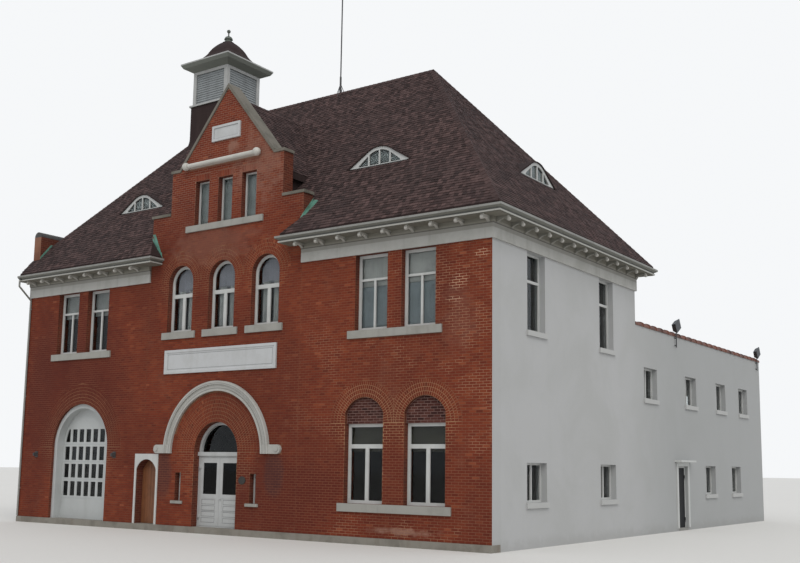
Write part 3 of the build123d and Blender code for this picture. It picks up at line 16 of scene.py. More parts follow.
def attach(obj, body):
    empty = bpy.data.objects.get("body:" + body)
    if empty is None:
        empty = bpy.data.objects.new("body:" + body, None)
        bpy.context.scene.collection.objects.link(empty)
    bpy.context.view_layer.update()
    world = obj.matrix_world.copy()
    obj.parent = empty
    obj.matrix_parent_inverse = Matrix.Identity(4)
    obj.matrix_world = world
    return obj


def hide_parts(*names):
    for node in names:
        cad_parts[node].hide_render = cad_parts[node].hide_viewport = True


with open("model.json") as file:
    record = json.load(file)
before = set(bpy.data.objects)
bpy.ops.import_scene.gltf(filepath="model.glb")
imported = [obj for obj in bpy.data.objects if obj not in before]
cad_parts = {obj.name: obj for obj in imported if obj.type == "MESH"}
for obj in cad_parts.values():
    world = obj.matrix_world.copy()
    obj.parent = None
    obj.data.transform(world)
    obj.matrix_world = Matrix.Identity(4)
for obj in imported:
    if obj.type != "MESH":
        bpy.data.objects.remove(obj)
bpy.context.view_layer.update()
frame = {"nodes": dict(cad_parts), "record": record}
nodes = frame["nodes"]

# %% [markdown]
# ## The camera
# The picture was taken from the street corner, a little above head height, with the front wall
# falling away to the left. Its place and turn were solved from points whose size is known, such
# as the corners of the walls and windows. The small upward shift keeps the walls upright
# without tilting the camera as much.

# %% Camera
image_width, image_height = 800, 563
focal_pixels = 1027.87
optical_row = 321.5
camera_place = (23.66271, -28.48942, 2.17302)
turn = np.array([-0.14054, -0.02968, -0.61068])


def turned(vector):
    """Rotation matrix of a rotation vector: I + sin(a) K + (1 - cos(a)) K K, K its unit cross."""
    angle = np.linalg.norm(vector)
    x, y, z = vector / angle
    cross = np.array([[0, -z, y], [z, 0, -x], [-y, x, 0]])
    return np.eye(3) + np.sin(angle) * cross + (1 - np.cos(angle)) * cross @ cross


level_view = np.array([[1, 0, 0], [0, 0, -1], [0, 1, 0]])
right, down, forward = level_view @ turned(turn)
camera_data = bpy.data.cameras.new("street_camera")
camera_data.sensor_width = 36
camera_data.lens = focal_pixels / image_width * camera_data.sensor_width
camera_data.shift_y = (optical_row - image_height / 2) / image_width
camera_data.clip_end = 500
camera = bpy.data.objects.new("street_camera", camera_data)
matrix = np.eye(4)
matrix[:3, :3] = np.column_stack([right, -down, -forward])
matrix[:3, 3] = camera_place
camera.matrix_world = Matrix(matrix.tolist())
bpy.context.collection.objects.link(camera)
bpy.context.scene.camera = camera
print("lens", round(camera_data.lens, 2), "shift", round(camera_data.shift_y, 3))

# %% [markdown]
# ## Numbers that the rest follows
# The building's levels and outlines are repeated here in metres, because bricks and shingles
# have to start and stop at them. Each is the same as in the solid model.

# %% Levels and outlines of the building
front = -4.925
right_x, left_x = 10.1, -10.1
rear, wing_end = 4.925, 19.575
base_top = 0.2
course = 0.0762
brick_pitch = 0.2159
joint = 0.010
frieze_bottom, soffit = 8.33, 8.9
pier_half = 3.4
shoulder_half = 2.53
gable_half = 2.13
low_shoulder, high_shoulder, apex = 10.56, 12.04, 14.64
eave_top, ridge_level = 9.19, 15.8356
eave_y, eave_x = 5.425, 10.6
front_slope, right_slope, left_slope = 1.225, 1.168, 1.278
ridge_left, ridge_right = -5.4, 4.91
cross_ridge, cross_slope, cross_half = 14.4, 1.2207, 2.35
print("front wall", round(right_x - left_x, 2), "m wide")

# %% [markdown]
# ## Floor, sky and lamps
# The building stands on a plain pale floor that takes its shadow. A white sky lights it from
# everywhere, as an overcast day does, and one wide sun gives the mouldings a soft edge. The sky
# is brighter where the camera, a gloss or a pane looks straight at it.

# %% Sky and sun
def add_node(tree, kind, feeds=(), **settings):
    """Add a shader node: feeds maps its sockets to values or to other sockets."""
    made = tree.nodes.new("ShaderNode" + kind)
    for key, value in settings.items():
        setattr(made, key, value)
    for key, value in dict(feeds).items():
        if isinstance(value, bpy.types.NodeSocket):
            tree.links.new(value, made.inputs[key])
        else:
            made.inputs[key].default_value = value
    return made


def calculate(tree, operation, *values):
    """Result of one Math node on one, two or three sockets or values."""
    return add_node(tree, "Math", enumerate(values), operation=operation).outputs[0]


def set_sky(light, gloss, plain):
    """Red, green, blue and strength of the sky as a light, in a gloss, and looked at."""
    world = bpy.data.worlds.new("overcast")
    bpy.context.scene.world = world
    world.use_nodes = True
    tree = world.node_tree
    tree.nodes.clear()
    path = add_node(tree, "LightPath").outputs
    seen = calculate(tree, "MAXIMUM", path["Is Camera Ray"], path["Is Transmission Ray"])
    skies = [add_node(tree, "Background", {"Color": (*colour, 1), "Strength": strength}).outputs[0]
             for *colour, strength in (light, gloss, plain)]
    unseen = add_node(tree, "MixShader", {0: path["Is Glossy Ray"], 1: skies[0], 2: skies[1]})
    sky = add_node(tree, "MixShader", {0: seen, 1: unseen.outputs[0], 2: skies[2]})
    add_node(tree, "OutputWorld", {0: sky.outputs[0]})


def add_sun(name, strength, width, tilt, heading):
    """A sun: tilt is its angle from straight down, heading its turn about the upright axis."""
    data = bpy.data.lights.new(name, "SUN")
    data.energy = strength
    data.angle = np.radians(width)
    data.color = (1, 0.97, 0.92)
    lamp = bpy.data.objects.new(name, data)
    lamp.rotation_euler = (np.radians(tilt), 0, np.radians(heading))
    bpy.context.collection.objects.link(lamp)


set_sky((0.96, 0.98, 1, 0.70), (0.84, 0.91, 1, 0.9), (0.97, 0.985, 1, 0.95))
add_sun("hazy_sun", 1.25, 40, 44, 46)
bpy.context.scene.view_settings.view_transform = "Standard"
print("sky and sun set")

# %% [markdown]
# ## Making a mesh from arrays
# Every new piece is a set of points worked out as one array. These helpers number the faces of
# a grid of points, put points and faces into a mesh, ride it on a body of the building and give
# it its finish.

# %% Mesh helpers
rng = np.random.default_rng(1892)
finish_named = {}
made_triangles = {}


def grid_faces(rows, columns, closed=False):
    """Quads between points numbered row by row; closed joins the last column to the first."""
    i, j = np.meshgrid(np.arange(rows - 1), np.arange(columns - (not closed)), indexing="ij")
    k = (j + 1) % columns
    return np.stack([i * columns + j, (i + 1) * columns + j, (i + 1) * columns + k,
                     i * columns + k], -1).reshape(-1, 4)


def new_mesh(name, points, faces, finish):
    """Object at the origin with the points and faces in its mesh."""
    mesh = bpy.data.meshes.new(name)
    mesh.from_pydata(points, [], faces)
    mesh.materials.append(finish_named[finish])
    piece = bpy.data.objects.new(name, mesh)
    bpy.context.collection.objects.link(piece)
    return piece


def add_piece(name, points, faces, finish, slot, smooth=False, tone=None):
    """Piece of the building from an (n, 3) array of points and an (m, 3 or 4) array of faces."""
    piece = new_mesh(name, points, faces, finish)
    piece.data.polygons.foreach_set("use_smooth", np.full(len(faces), smooth))
    if tone is not None:
        values = np.asarray(tone, np.float32)
        piece.data.attributes.new("tone", "FLOAT", "POINT").data.foreach_set("value", values)
    piece.data.update()
    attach(piece, "root")
    made_triangles[name] = len(faces) * (faces.shape[1] - 2)
    print(name, "triangles", made_triangles[name])
    return piece


def add_floor(finish, radii=(4, 30, 120, 400), around=96):
    """Flat round floor: rings of points at growing radius joined by quads, and a middle fan."""
    angle = np.linspace(0, 2 * np.pi, around + 1)[:-1]
    points = np.stack([np.outer(radii, np.cos(angle)), np.outer(radii, np.sin(angle)),
                       np.zeros((len(radii), around))], -1).reshape(-1, 3)
    step = np.arange(around)
    fan = np.stack([0 * step + len(points), step, (step + 1) % around], -1)
    rings = grid_faces(len(radii), around, closed=True)
    floor = new_mesh("floor", np.vstack([points, [0, 0, 0]]), rings.tolist() + fan.tolist(), finish)


# %% [markdown]
# ## Shared effects
# Weather works on all of these surfaces in the same few ways: soft patches where one area has
# aged more than the next, runs of dirt down a wall, fine grain, single stained spots, the coat
# of stucco and the joints of a brick wall. Each is built once as a node group and placed in the
# finishes with their own values.

# %% Helpers for node groups
def new_group(name, inputs, outputs):
    """Node group with named sockets: inputs maps names to values, outputs names to kinds."""
    tree = bpy.data.node_groups.new(name, "ShaderNodeTree")
    for label, value in inputs.items():
        kind = "NodeSocketColor" if isinstance(value, tuple) else "NodeSocketFloat"
        socket = tree.interface.new_socket(label, in_out="INPUT", socket_type=kind)
        socket.default_value = value
    for label, kind in outputs.items():
        tree.interface.new_socket(label, in_out="OUTPUT", socket_type="NodeSocket" + kind)
    return tree, tree.nodes.new("NodeGroupInput").outputs, tree.nodes.new("NodeGroupOutput").inputs


def place_group(tree, group, **feeds):
    """Outputs of a placed group; a feed's underscores stand for the spaces of its socket."""
    return add_node(tree, "Group", {k.replace("_", " "): v for k, v in feeds.items()},
                    node_tree=group).outputs


def coordinate(tree, kind="Object"):
    """Point on the piece, or with kind "Normal" the way the face looks."""
    return add_node(tree, "TexCoord").outputs[kind]


def axes(tree, kind="Object"):
    """X, Y and Z of that coordinate."""
    return add_node(tree, "SeparateXYZ", {0: coordinate(tree, kind)}).outputs


def noise(tree, point, scale, detail, roughness=0.6, distortion=0.0):
    """Cloudy value around a half, at the point."""
    return add_node(tree, "TexNoise", {"Vector": point, "Scale": scale, "Detail": detail,
                                       "Roughness": roughness,
                                       "Distortion": distortion}).outputs["Fac"]


def soft_step(tree, value, low, high):
    """Ramp from 0 at low to 1 at high, eased at both ends."""
    return add_node(tree, "MapRange", {"Value": value, "From Min": low, "From Max": high},
                    interpolation_type="SMOOTHSTEP").outputs[0]


def times(tree, first, second):
    """Product of two masks, or of a mask and its share."""
    return calculate(tree, "MULTIPLY", first, second)


def mixed(tree, share, first, second):
    """Colour between two: second is a socket or three numbers and counts by share."""
    second = second if isinstance(second, bpy.types.NodeSocket) else (*second, 1)
    return add_node(tree, "Mix", {0: share, 6: first, 7: second}, data_type="RGBA").outputs[2]


def mixed_number(tree, share, first, second):
    """Number between two, in the same way."""
    return add_node(tree, "Mix", {0: share, 2: first, 3: second}, data_type="FLOAT").outputs[0]


def layered(tree, colour, layers):
    """Colour under layers of (mask, share, stain), laid on one after the other."""
    for mask, share, stain in layers:
        colour = mixed(tree, times(tree, mask, share), colour, stain)
    return colour


# %% Groups for patches, runs and spots
def make_patches():
    """Noise at two scales: Patches is broad, eased between two edges, and Grain is fine."""
    tree, given, out = new_group(
        "aged_patches", {"Scale": 0.5, "Low": 0.45, "High": 0.65, "Grain Scale": 40},
        {"Patches": "Float", "Grain": "Float"})
    point = coordinate(tree)
    broad = noise(tree, point, given["Scale"], 5, 0.62, 0.4)
    tree.links.new(soft_step(tree, broad, given["Low"], given["High"]), out["Patches"])
    tree.links.new(noise(tree, point, given["Grain Scale"], 3), out["Grain"])
    return tree


def make_runs():
    """Streaks that run down a wall: noise squeezed along X and Y and drawn out along Z."""
    tree, given, out = new_group(
        "rain_runs", {"Width": 3, "Length": 0.25, "Low": 0.5, "High": 0.75}, {"Runs": "Float"})
    size = add_node(tree, "CombineXYZ", {0: given["Width"], 1: given["Width"], 2: given["Length"]})
    point = add_node(tree, "VectorMath", {0: coordinate(tree), 1: size.outputs[0]},
                     operation="MULTIPLY")
    streaks = noise(tree, point.outputs[0], 1, 4)
    tree.links.new(soft_step(tree, streaks, given["Low"], given["High"]), out["Runs"])
    return tree


def make_spot():
    """Soft oval on an upright face: 1 within the half sizes of its middle, frayed by noise."""
    tree, given, out = new_group(
        "wall_spot", {"Along": 0, "Level": 0, "Half Width": 1, "Half Height": 1, "Fray": 0.8},
        {"Spot": "Float"})
    place = axes(tree)
    squares = []
    for axis, middle, half in (("X", "Along", "Half Width"), ("Z", "Level", "Half Height")):
        offset = calculate(tree, "SUBTRACT", place[axis], given[middle])
        share = calculate(tree, "DIVIDE", offset, given[half])
        squares.append(times(tree, share, share))
    reach = calculate(tree, "ADD", *squares)
    frayed = calculate(tree, "MULTIPLY_ADD", noise(tree, coordinate(tree), 3.2, 4), given["Fray"],
                       reach)
    tree.links.new(soft_step(tree, frayed, 1.3, 0.7), out["Spot"])
    return tree


# %% Groups for joints and stucco
def make_masonry():
    """Running bond on any upright face: X or Y along the wall, whichever the face runs along."""
    tree, given, out = new_group(
        "masonry_joints", {"Brick": (0.15, 0.045, 0.025, 1), "Other Brick": (0.1, 0.03, 0.02, 1),
                           "Mortar": (0.25, 0.13, 0.08, 1)}, {"Color": "Color", "Joint": "Float"})
    place = axes(tree)
    sideways = calculate(tree, "ABSOLUTE", axes(tree, "Normal")["X"])
    along = mixed_number(tree, calculate(tree, "GREATER_THAN", sideways, 0.7), place["X"],
                         place["Y"])
    level = calculate(tree, "SUBTRACT", place["Z"], base_top)
    flat = add_node(tree, "CombineXYZ", {0: along, 1: level})
    wall = add_node(tree, "TexBrick", {
        "Vector": flat.outputs[0], "Color1": given["Brick"], "Color2": given["Other Brick"],
        "Mortar": given["Mortar"], "Scale": 1, "Mortar Size": joint / 2, "Mortar Smooth": 0.2,
        "Brick Width": brick_pitch, "Row Height": course}).outputs
    tree.links.new(wall["Color"], out["Color"])
    tree.links.new(wall["Fac"], out["Joint"])
    return tree


def make_stucco():
    """Pale coat with trowel marks, runs and foot stains; greyer on the wing; painted shade in
    rooms.
    """
    tree, given, out = new_group("stucco_coat", {
        "Coat": (0.43, 0.435, 0.44, 1), "Worn": (0.38, 0.385, 0.38, 1),
        "Foot": (0.2, 0.195, 0.18, 1), "Room": (0.075, 0.075, 0.07, 1),
        "Wing": (0.31, 0.32, 0.32, 1)}, {"Color": "Color", "Height": "Float"})
    aged = place_group(tree, patches_group, Scale=0.35, Low=0.42, High=0.7, Grain_Scale=9)
    fine = place_group(tree, patches_group, Scale=2.5, Low=0.45, High=0.65, Grain_Scale=110)
    runs = place_group(tree, runs_group, Width=2.6, Length=0.16, Low=0.55, High=0.85)
    place = axes(tree)
    foot_line = calculate(tree, "MULTIPLY_ADD", fine["Patches"], 0.14, place["Z"])

    def inside(last_y, top):
        return times(tree, calculate(tree, "LESS_THAN", place["Y"], last_y),
                     calculate(tree, "LESS_THAN", place["Z"], top))

    # The main block's and the wing's rooms, whose walls get painted shade: last y and ceiling
    rooms = [inside(last_y, top) for last_y, top in ((4.6, 8.85), (19.3, 6.2))]
    between_walls = calculate(tree, "COMPARE", place["X"], 0, 9.76)
    colour = layered(tree, given["Coat"], (
        (aged["Patches"], 0.6, given["Worn"]), (runs["Runs"], 0.3, given["Worn"]),
        (soft_step(tree, place["Y"], 3, 9), 0.6, given["Wing"]),
        (soft_step(tree, foot_line, 0.42, 0.1), 0.2, given["Foot"]),
        (between_walls, calculate(tree, "MAXIMUM", *rooms), given["Room"])))
    tree.links.new(colour, out["Color"])
    tree.links.new(calculate(tree, "MULTIPLY_ADD", fine["Grain"], 0.35, aged["Grain"]),
                   out["Height"])
    return tree


patches_group, runs_group, spot_group = make_patches(), make_runs(), make_spot()
masonry_group, stucco_group = make_masonry(), make_stucco()
print("groups", [g.name for g in bpy.data.node_groups])

# %% [markdown]
# ## Finishes
# A finish starts as a shader with a plain value on each socket, and its colour, roughness and
# bump come from the groups. The main helper below places them: patches of a second colour, runs
# of a third, and a bump from the grain. Marks come last, such as a painted shadow line in a
# panel: each is a mask, the numbers that place it, its share and its colour.

# %% Helpers for materials
def start_material(name, roughness, metallic=0.0):
    """Node tree and shader of a new finish, kept under its name."""
    made = bpy.data.materials.new(name)
    made.use_nodes = True
    made.node_tree.nodes.clear()
    shader = add_node(made.node_tree, "BsdfPrincipled",
                      {"Roughness": roughness, "Metallic": metallic})
    add_node(made.node_tree, "OutputMaterial", {0: shader.outputs[0]})
    finish_named[name] = made
    return made.node_tree, shader


def set_colour(tree, shader, colour):
    """Lead a colour to the shader."""
    tree.links.new(colour, shader.inputs["Base Color"])


def set_bump(tree, shader, height, strength, distance):
    """Tilt the shader's normal by a height, distance metres high where it is 1."""
    bump = add_node(tree, "Bump", {"Height": height, "Strength": strength, "Distance": distance})
    tree.links.new(bump.outputs[0], shader.inputs["Normal"])


def rough_from(tree, shader, mask, low, high):
    """Let the roughness follow a mask, from low to high."""
    spread = add_node(tree, "MapRange", {"Value": mask, "To Min": low, "To Max": high})
    tree.links.new(spread.outputs[0], shader.inputs["Roughness"])


def spotted(tree, colour, x, z, half_width, half_height, share, fray, stain):
    """Colour with one more soft spot on it."""
    spot = place_group(tree, spot_group, Along=x, Level=z, Half_Width=half_width,
                       Half_Height=half_height, Fray=fray)["Spot"]
    return mixed(tree, times(tree, spot, share), colour, stain)


# %% Masks for marks
def level_band(tree, low, high):
    """1 between two levels of Z, with edges a centimetre soft."""
    level = axes(tree)["Z"]
    return times(tree, soft_step(tree, level, low - 0.005, low + 0.005),
                 soft_step(tree, level, high + 0.005, high - 0.005))


def framed_shadow_line(tree, x, z, half_width, half_height):
    """Painted shadow line round an upright rectangle: max(|dx| - a, |dz| - b) within 9 mm of 0."""
    place = axes(tree)
    past = [calculate(tree, "SUBTRACT",
                      calculate(tree, "ABSOLUTE", calculate(tree, "SUBTRACT", place[axis], middle)),
                      half)
            for axis, middle, half in (("X", x, half_width), ("Z", z, half_height))]
    return calculate(tree, "COMPARE", calculate(tree, "MAXIMUM", *past), 0, 0.009)


def ring_shadow_line(tree, x, z, radius):
    """Painted shadow ring on an upright face: distance from the middle within 12 mm of the radius.
    """
    flat = add_node(tree, "VectorMath", {0: coordinate(tree), 1: (1, 0, 1)}, operation="MULTIPLY")
    reach = add_node(tree, "VectorMath", {0: flat.outputs[0], 1: (x, 0, z)}, operation="DISTANCE")
    return calculate(tree, "COMPARE", reach.outputs["Value"], radius, 0.012)


def beyond(tree, axis, near, far):
    """Ramp along one axis."""
    return soft_step(tree, axes(tree)[axis], near, far)


def bracket_ends(tree):
    """Outer ends of the brackets, on the right and on the front."""
    return calculate(tree, "MAXIMUM", beyond(tree, "X", 10.50, 10.55),
                     beyond(tree, "Y", -4.98, -5.2))


def shaded_underside(tree):
    """1 where a face looks down; marks with it are painted shade on faces that look down."""
    return soft_step(tree, axes(tree, "Normal")["Z"], -0.1, -0.5)


# %% Helper for weathered finishes
def weathered(name, base, aged, runs, roughness, scale, grain_scale, amounts, bump,
              edges=(0.42, 0.68), metallic=0.0, grain=0.25, widths=(3, 0.25), marks=()):
    """Base colour with patches of the aged one, runs of the third and dark grain, then marks."""
    tree, shader = start_material(name, roughness, metallic)
    age = place_group(tree, patches_group, Scale=scale, Low=edges[0], High=edges[1],
                      Grain_Scale=grain_scale)
    rain = place_group(tree, runs_group, Width=widths[0], Length=widths[1])
    set_colour(tree, shader, layered(tree, (*base, 1), [
        (age["Patches"], amounts[0], aged), (rain["Runs"], amounts[1], runs),
        (soft_step(tree, age["Grain"], 0.35, 0.7), grain, [c * 0.6 for c in base]),
        *[(mask(tree, *numbers), share, stain) for mask, numbers, share, stain in marks]]))
    rough_from(tree, shader, age["Grain"], roughness - 0.08, min(roughness + 0.1, 1))
    set_bump(tree, shader, age["Grain"], 0.6, bump)
    return shader


# %% [markdown]
# ### Brick
# The front is laid in smooth red bricks. Each laid brick carries a random value of its own in
# the attribute "tone", which picks its red, as bricks from different parts of the kiln differ.
# Soot and rain darken whole areas, and a few areas have washed out to a pale bloom.

# %% Brick finishes
def ramp(tree, value, stops):
    """Colour ramp through (place, colour) stops."""
    made = add_node(tree, "ValToRGB", {0: value})
    while len(made.color_ramp.elements) < len(stops):
        made.color_ramp.elements.new(0.5)
    for element, (place, colour) in zip(made.color_ramp.elements, stops):
        element.position = place
        element.color = (*colour, 1)
    return made.outputs[0]


def tone_colour(tree, stops):
    """Colour that the random tone of each block picks from the stops."""
    return ramp(tree, add_node(tree, "Attribute", attribute_name="tone").outputs["Fac"], stops)


def brick_finish(name, stops, soot, bloom, bloom_share):
    """Brick: the tone picks its red, then the big areas, runs, pale bloom and named spots."""
    tree, shader = start_material(name, 0.82)
    shader.inputs["Specular IOR Level"].default_value = 0.15
    broad = place_group(tree, patches_group, Scale=0.22, Low=0.44, High=0.60, Grain_Scale=60)
    blooms = place_group(tree, patches_group, Scale=1.1, Low=0.58, High=0.72, Grain_Scale=14)
    runs = place_group(tree, runs_group, Width=2.2, Length=0.3, Low=0.52, High=0.8)
    colour = layered(tree, tone_colour(tree, stops), (
        (broad["Patches"], 0.5, soot), (runs["Runs"], 0.35, soot),
        (blooms["Patches"], bloom_share, bloom)))
    for spot in wall_spots:
        colour = spotted(tree, colour, *spot)
    set_colour(tree, shader, colour)
    rough_from(tree, shader, broad["Grain"], 0.7, 0.92)
    set_bump(tree, shader, broad["Grain"], 0.5, 0.002)


# Spots on the front as (x, z, half width, half height, share, fray, colour): crimson on the
# left, pale bloom near a window, on the gable and at the foot, dark beside the hood's feet
crimson, washed, sooty = (0.085, 0.016, 0.012), (0.30, 0.17, 0.13), (0.05, 0.03, 0.032)
wall_spots = [
    (-7.2, 5.0, 3.8, 4.0, 0.62, 0.8, crimson), (2.6, 1.2, 3.4, 1.6, 0.45, 0.8, crimson),
    (-9.2, 3.2, 1.0, 4.0, 0.4, 0.8, crimson), (0.3, 12.55, 0.45, 0.45, 0.6, 1.7, washed),
    (7.4, 0.42, 2.4, 0.17, 0.75, 1.7, washed), (1.5, 11.9, 2.2, 2.4, 0.4, 1.6, washed),
    (-2.35, 1.8, 0.5, 0.95, 0.5, 0.8, sooty), (2.5, 1.9, 0.5, 0.9, 0.5, 0.8, sooty),
    (9.1, 6.2, 1.0, 1.6, 0.15, 1.6, washed), (-0.5, 9.4, 3.2, 1.2, 0.25, 1.4, washed)]
red_stops = [(0, (0.115, 0.022, 0.012)), (0.18, (0.155, 0.029, 0.015)),
             (0.6, (0.185, 0.036, 0.017)), (0.9, (0.22, 0.05, 0.022)), (1, (0.3, 0.09, 0.045))]
dull_stops = [(0, (0.03, 0.011, 0.01)), (0.5, (0.078, 0.023, 0.018)), (1, (0.15, 0.058, 0.045))]
brick_finish("laid_brick", red_stops, (0.095, 0.02, 0.013), (0.24, 0.1, 0.065), 0.2)
brick_finish("infill_brick", dull_stops, (0.036, 0.014, 0.012), (0.15, 0.08, 0.065), 0.3)
print("brick finishes made")

# %% [markdown]
# The wall behind the bricks shows as mortar in their joints. It is paler high on the gable,
# in the newly pointed patches on the right and in the rings over the arches. Where no brick is
# laid, the joints are drawn, and the end of this wall wears the stucco of the side.

# %% Mortar bed and other brick faces
mortar_spots = [(x, z, half_width, half_height, 1, 1.2, (0.62, 0.42, 0.28))
                for x, z, half_width, half_height in ((9.05, 7.25, 0.42, 0.33),
                                                      (9.8, 7.95, 0.35, 0.18),
                                                      (8.9, 6.75, 0.35, 0.12))]
mortar_spots += [(x, z + 0.1, reach, reach, share, 0.5, (0.42, 0.25, 0.14))
                 for x, z, reach, share in (
                     (5.88, 3.41, 1.25, 0.7), (7.97, 3.41, 1.25, 0.7), (0, 2.57, 2.0, 0.4),
                     (-6.755, 2.74, 2.25, 0.4), (-1.91, 8.2, 1.1, 0.4), (0, 8.2, 1.1, 0.4),
                     (1.91, 8.2, 1.1, 0.4))]


def wall_brick():
    """Mortar bed behind the laid bricks, drawn joints on other faces, stucco on the end wall."""
    tree, shader = start_material("brick_wall", 0.88)
    shader.inputs["Specular IOR Level"].default_value = 0.15
    aged = place_group(tree, patches_group, Scale=0.8, Low=0.4, High=0.7, Grain_Scale=70)
    pointed = place_group(tree, patches_group, Scale=0.75, Low=0.53, High=0.62, Grain_Scale=20)
    joints = place_group(tree, masonry_group, Brick=(0.15, 0.036, 0.02, 1),
                         Other_Brick=(0.09, 0.024, 0.016, 1), Mortar=(0.2, 0.1, 0.065, 1))
    coat = place_group(tree, stucco_group)
    place, facing = axes(tree), axes(tree, "Normal")
    new_side = soft_step(tree, place["X"], 1.0, 6.8)
    high_up = soft_step(tree, place["Z"], 9.2, 11.5)
    mortar = layered(tree, (0.2, 0.08, 0.045, 1), (
        (aged["Patches"], 1, (0.11, 0.04, 0.025)), (high_up, 0.55, (0.36, 0.22, 0.16)),
        (new_side, 0.6, (0.26, 0.12, 0.072)),
        (new_side, pointed["Patches"], (0.35, 0.195, 0.12))))
    for spot in mortar_spots:
        mortar = spotted(tree, mortar, *spot)
    colour = layered(tree, joints["Color"], [(aged["Patches"], 0.45, (0.07, 0.026, 0.02))])
    colour = mixed(tree, soft_step(tree, facing["Y"], -0.9, -0.95), colour, mortar)
    end_wall = times(tree, soft_step(tree, facing["X"], 0.9, 0.95),
                     soft_step(tree, place["X"], right_x - 0.02, right_x - 0.01))
    set_colour(tree, shader, mixed(tree, end_wall, colour, coat["Color"]))
    dip = calculate(tree, "SUBTRACT", aged["Grain"], joints["Joint"])
    set_bump(tree, shader, mixed_number(tree, end_wall, dip, coat["Height"]), 0.5, 0.004)


def stucco_finish():
    """The coat of stucco alone."""
    tree, shader = start_material("stucco", 0.85)
    coat = place_group(tree, stucco_group)
    set_colour(tree, shader, coat["Color"])
    set_bump(tree, shader, coat["Height"], 0.45, 0.008)


wall_brick()
stucco_finish()
print("wall finishes made")

# %% [markdown]
# ### Stone, paint, wood, metal and the roof coverings
# The sills and mouldings are a grey cream stone, the base is coarser, and the copings on the
# gable are weathered to olive. Old white paint is dull and slightly warm, with dirt in its runs.
# The eaves are greyer, and the boards under them are a dark olive, darkened as painted shade under
# the eaves, as are the brackets but for their pale ends; bands of painted shade and highlight lie
# on the gutter, the frieze and the cupola's trim. Copper flashings have gone green. All of these
# are weathered in the same way, so they are rows of one table.

# %% Table of weathered finishes
leaf_panels = [(side * 0.4775, z, 0.29, 0.07) for side in (-1, 1) for z in (0.42, 0.61, 0.80, 0.99)]
board_panels = [(0, 5.53, 2.33, 0.245), (-0.025, 13.115, 0.545, 0.175)]
marks_of = {
    "sill_stone": [(beyond, ("X", 9.6, 9.8), 1, (0.43, 0.435, 0.43))],
    # Hood mould: two dark rings are painted shade in its grooves
    "moulding_stone": [(ring_shadow_line, (0, 2.52, radius), 0.6, (0.1075, 0.10625, 0.1))
                       for radius in (2.075, 2.235)],
    # Door leaves: dark lines round the panels are painted shadow lines of their mouldings
    "leaf_paint": [(framed_shadow_line, panel, 0.75, (0.135, 0.138, 0.138)) for panel in leaf_panels],
    # Boards: a dark line round each sunk field is a painted shadow line inside the rim
    "panel_paint": [(framed_shadow_line, panel, 0.75, (0.153, 0.156, 0.159)) for panel in board_panels],
    # Brackets: pale paint at their ends and on the front ones; elsewhere their dark base is painted
    # shade
    "bracket_paint": [(bracket_ends, (), 1, (0.40, 0.39, 0.36))],
    # Gutter: a lighter band on the fillet is a painted highlight; a dark band on the bowl and the
    # faces looking down are painted shade
    "gutter_paint": [(level_band, (8.9, 8.962), 1, (0.42, 0.415, 0.385)),
                     (level_band, (8.962, 9.046), 0.9, (0.095, 0.095, 0.088)),
                     (shaded_underside, (), 1, (0.16, 0.16, 0.14))],
    # Frieze: the darker bands and the dark line under the brackets are painted shade of the eaves
    "frieze_paint": [(level_band, (8.62, 8.73), 0.6, (0.2, 0.19, 0.165)),
                     (level_band, (8.73, 8.76), 0.9, (0.05, 0.045, 0.035)),
                     (level_band, (8.76, 8.95), 0.85, (0.15, 0.14, 0.11))],
    # Cupola trim: faces that look down are darkened as painted shade
    "cupola_trim_paint": [(shaded_underside, (), 1, (0.15, 0.16, 0.14))]}

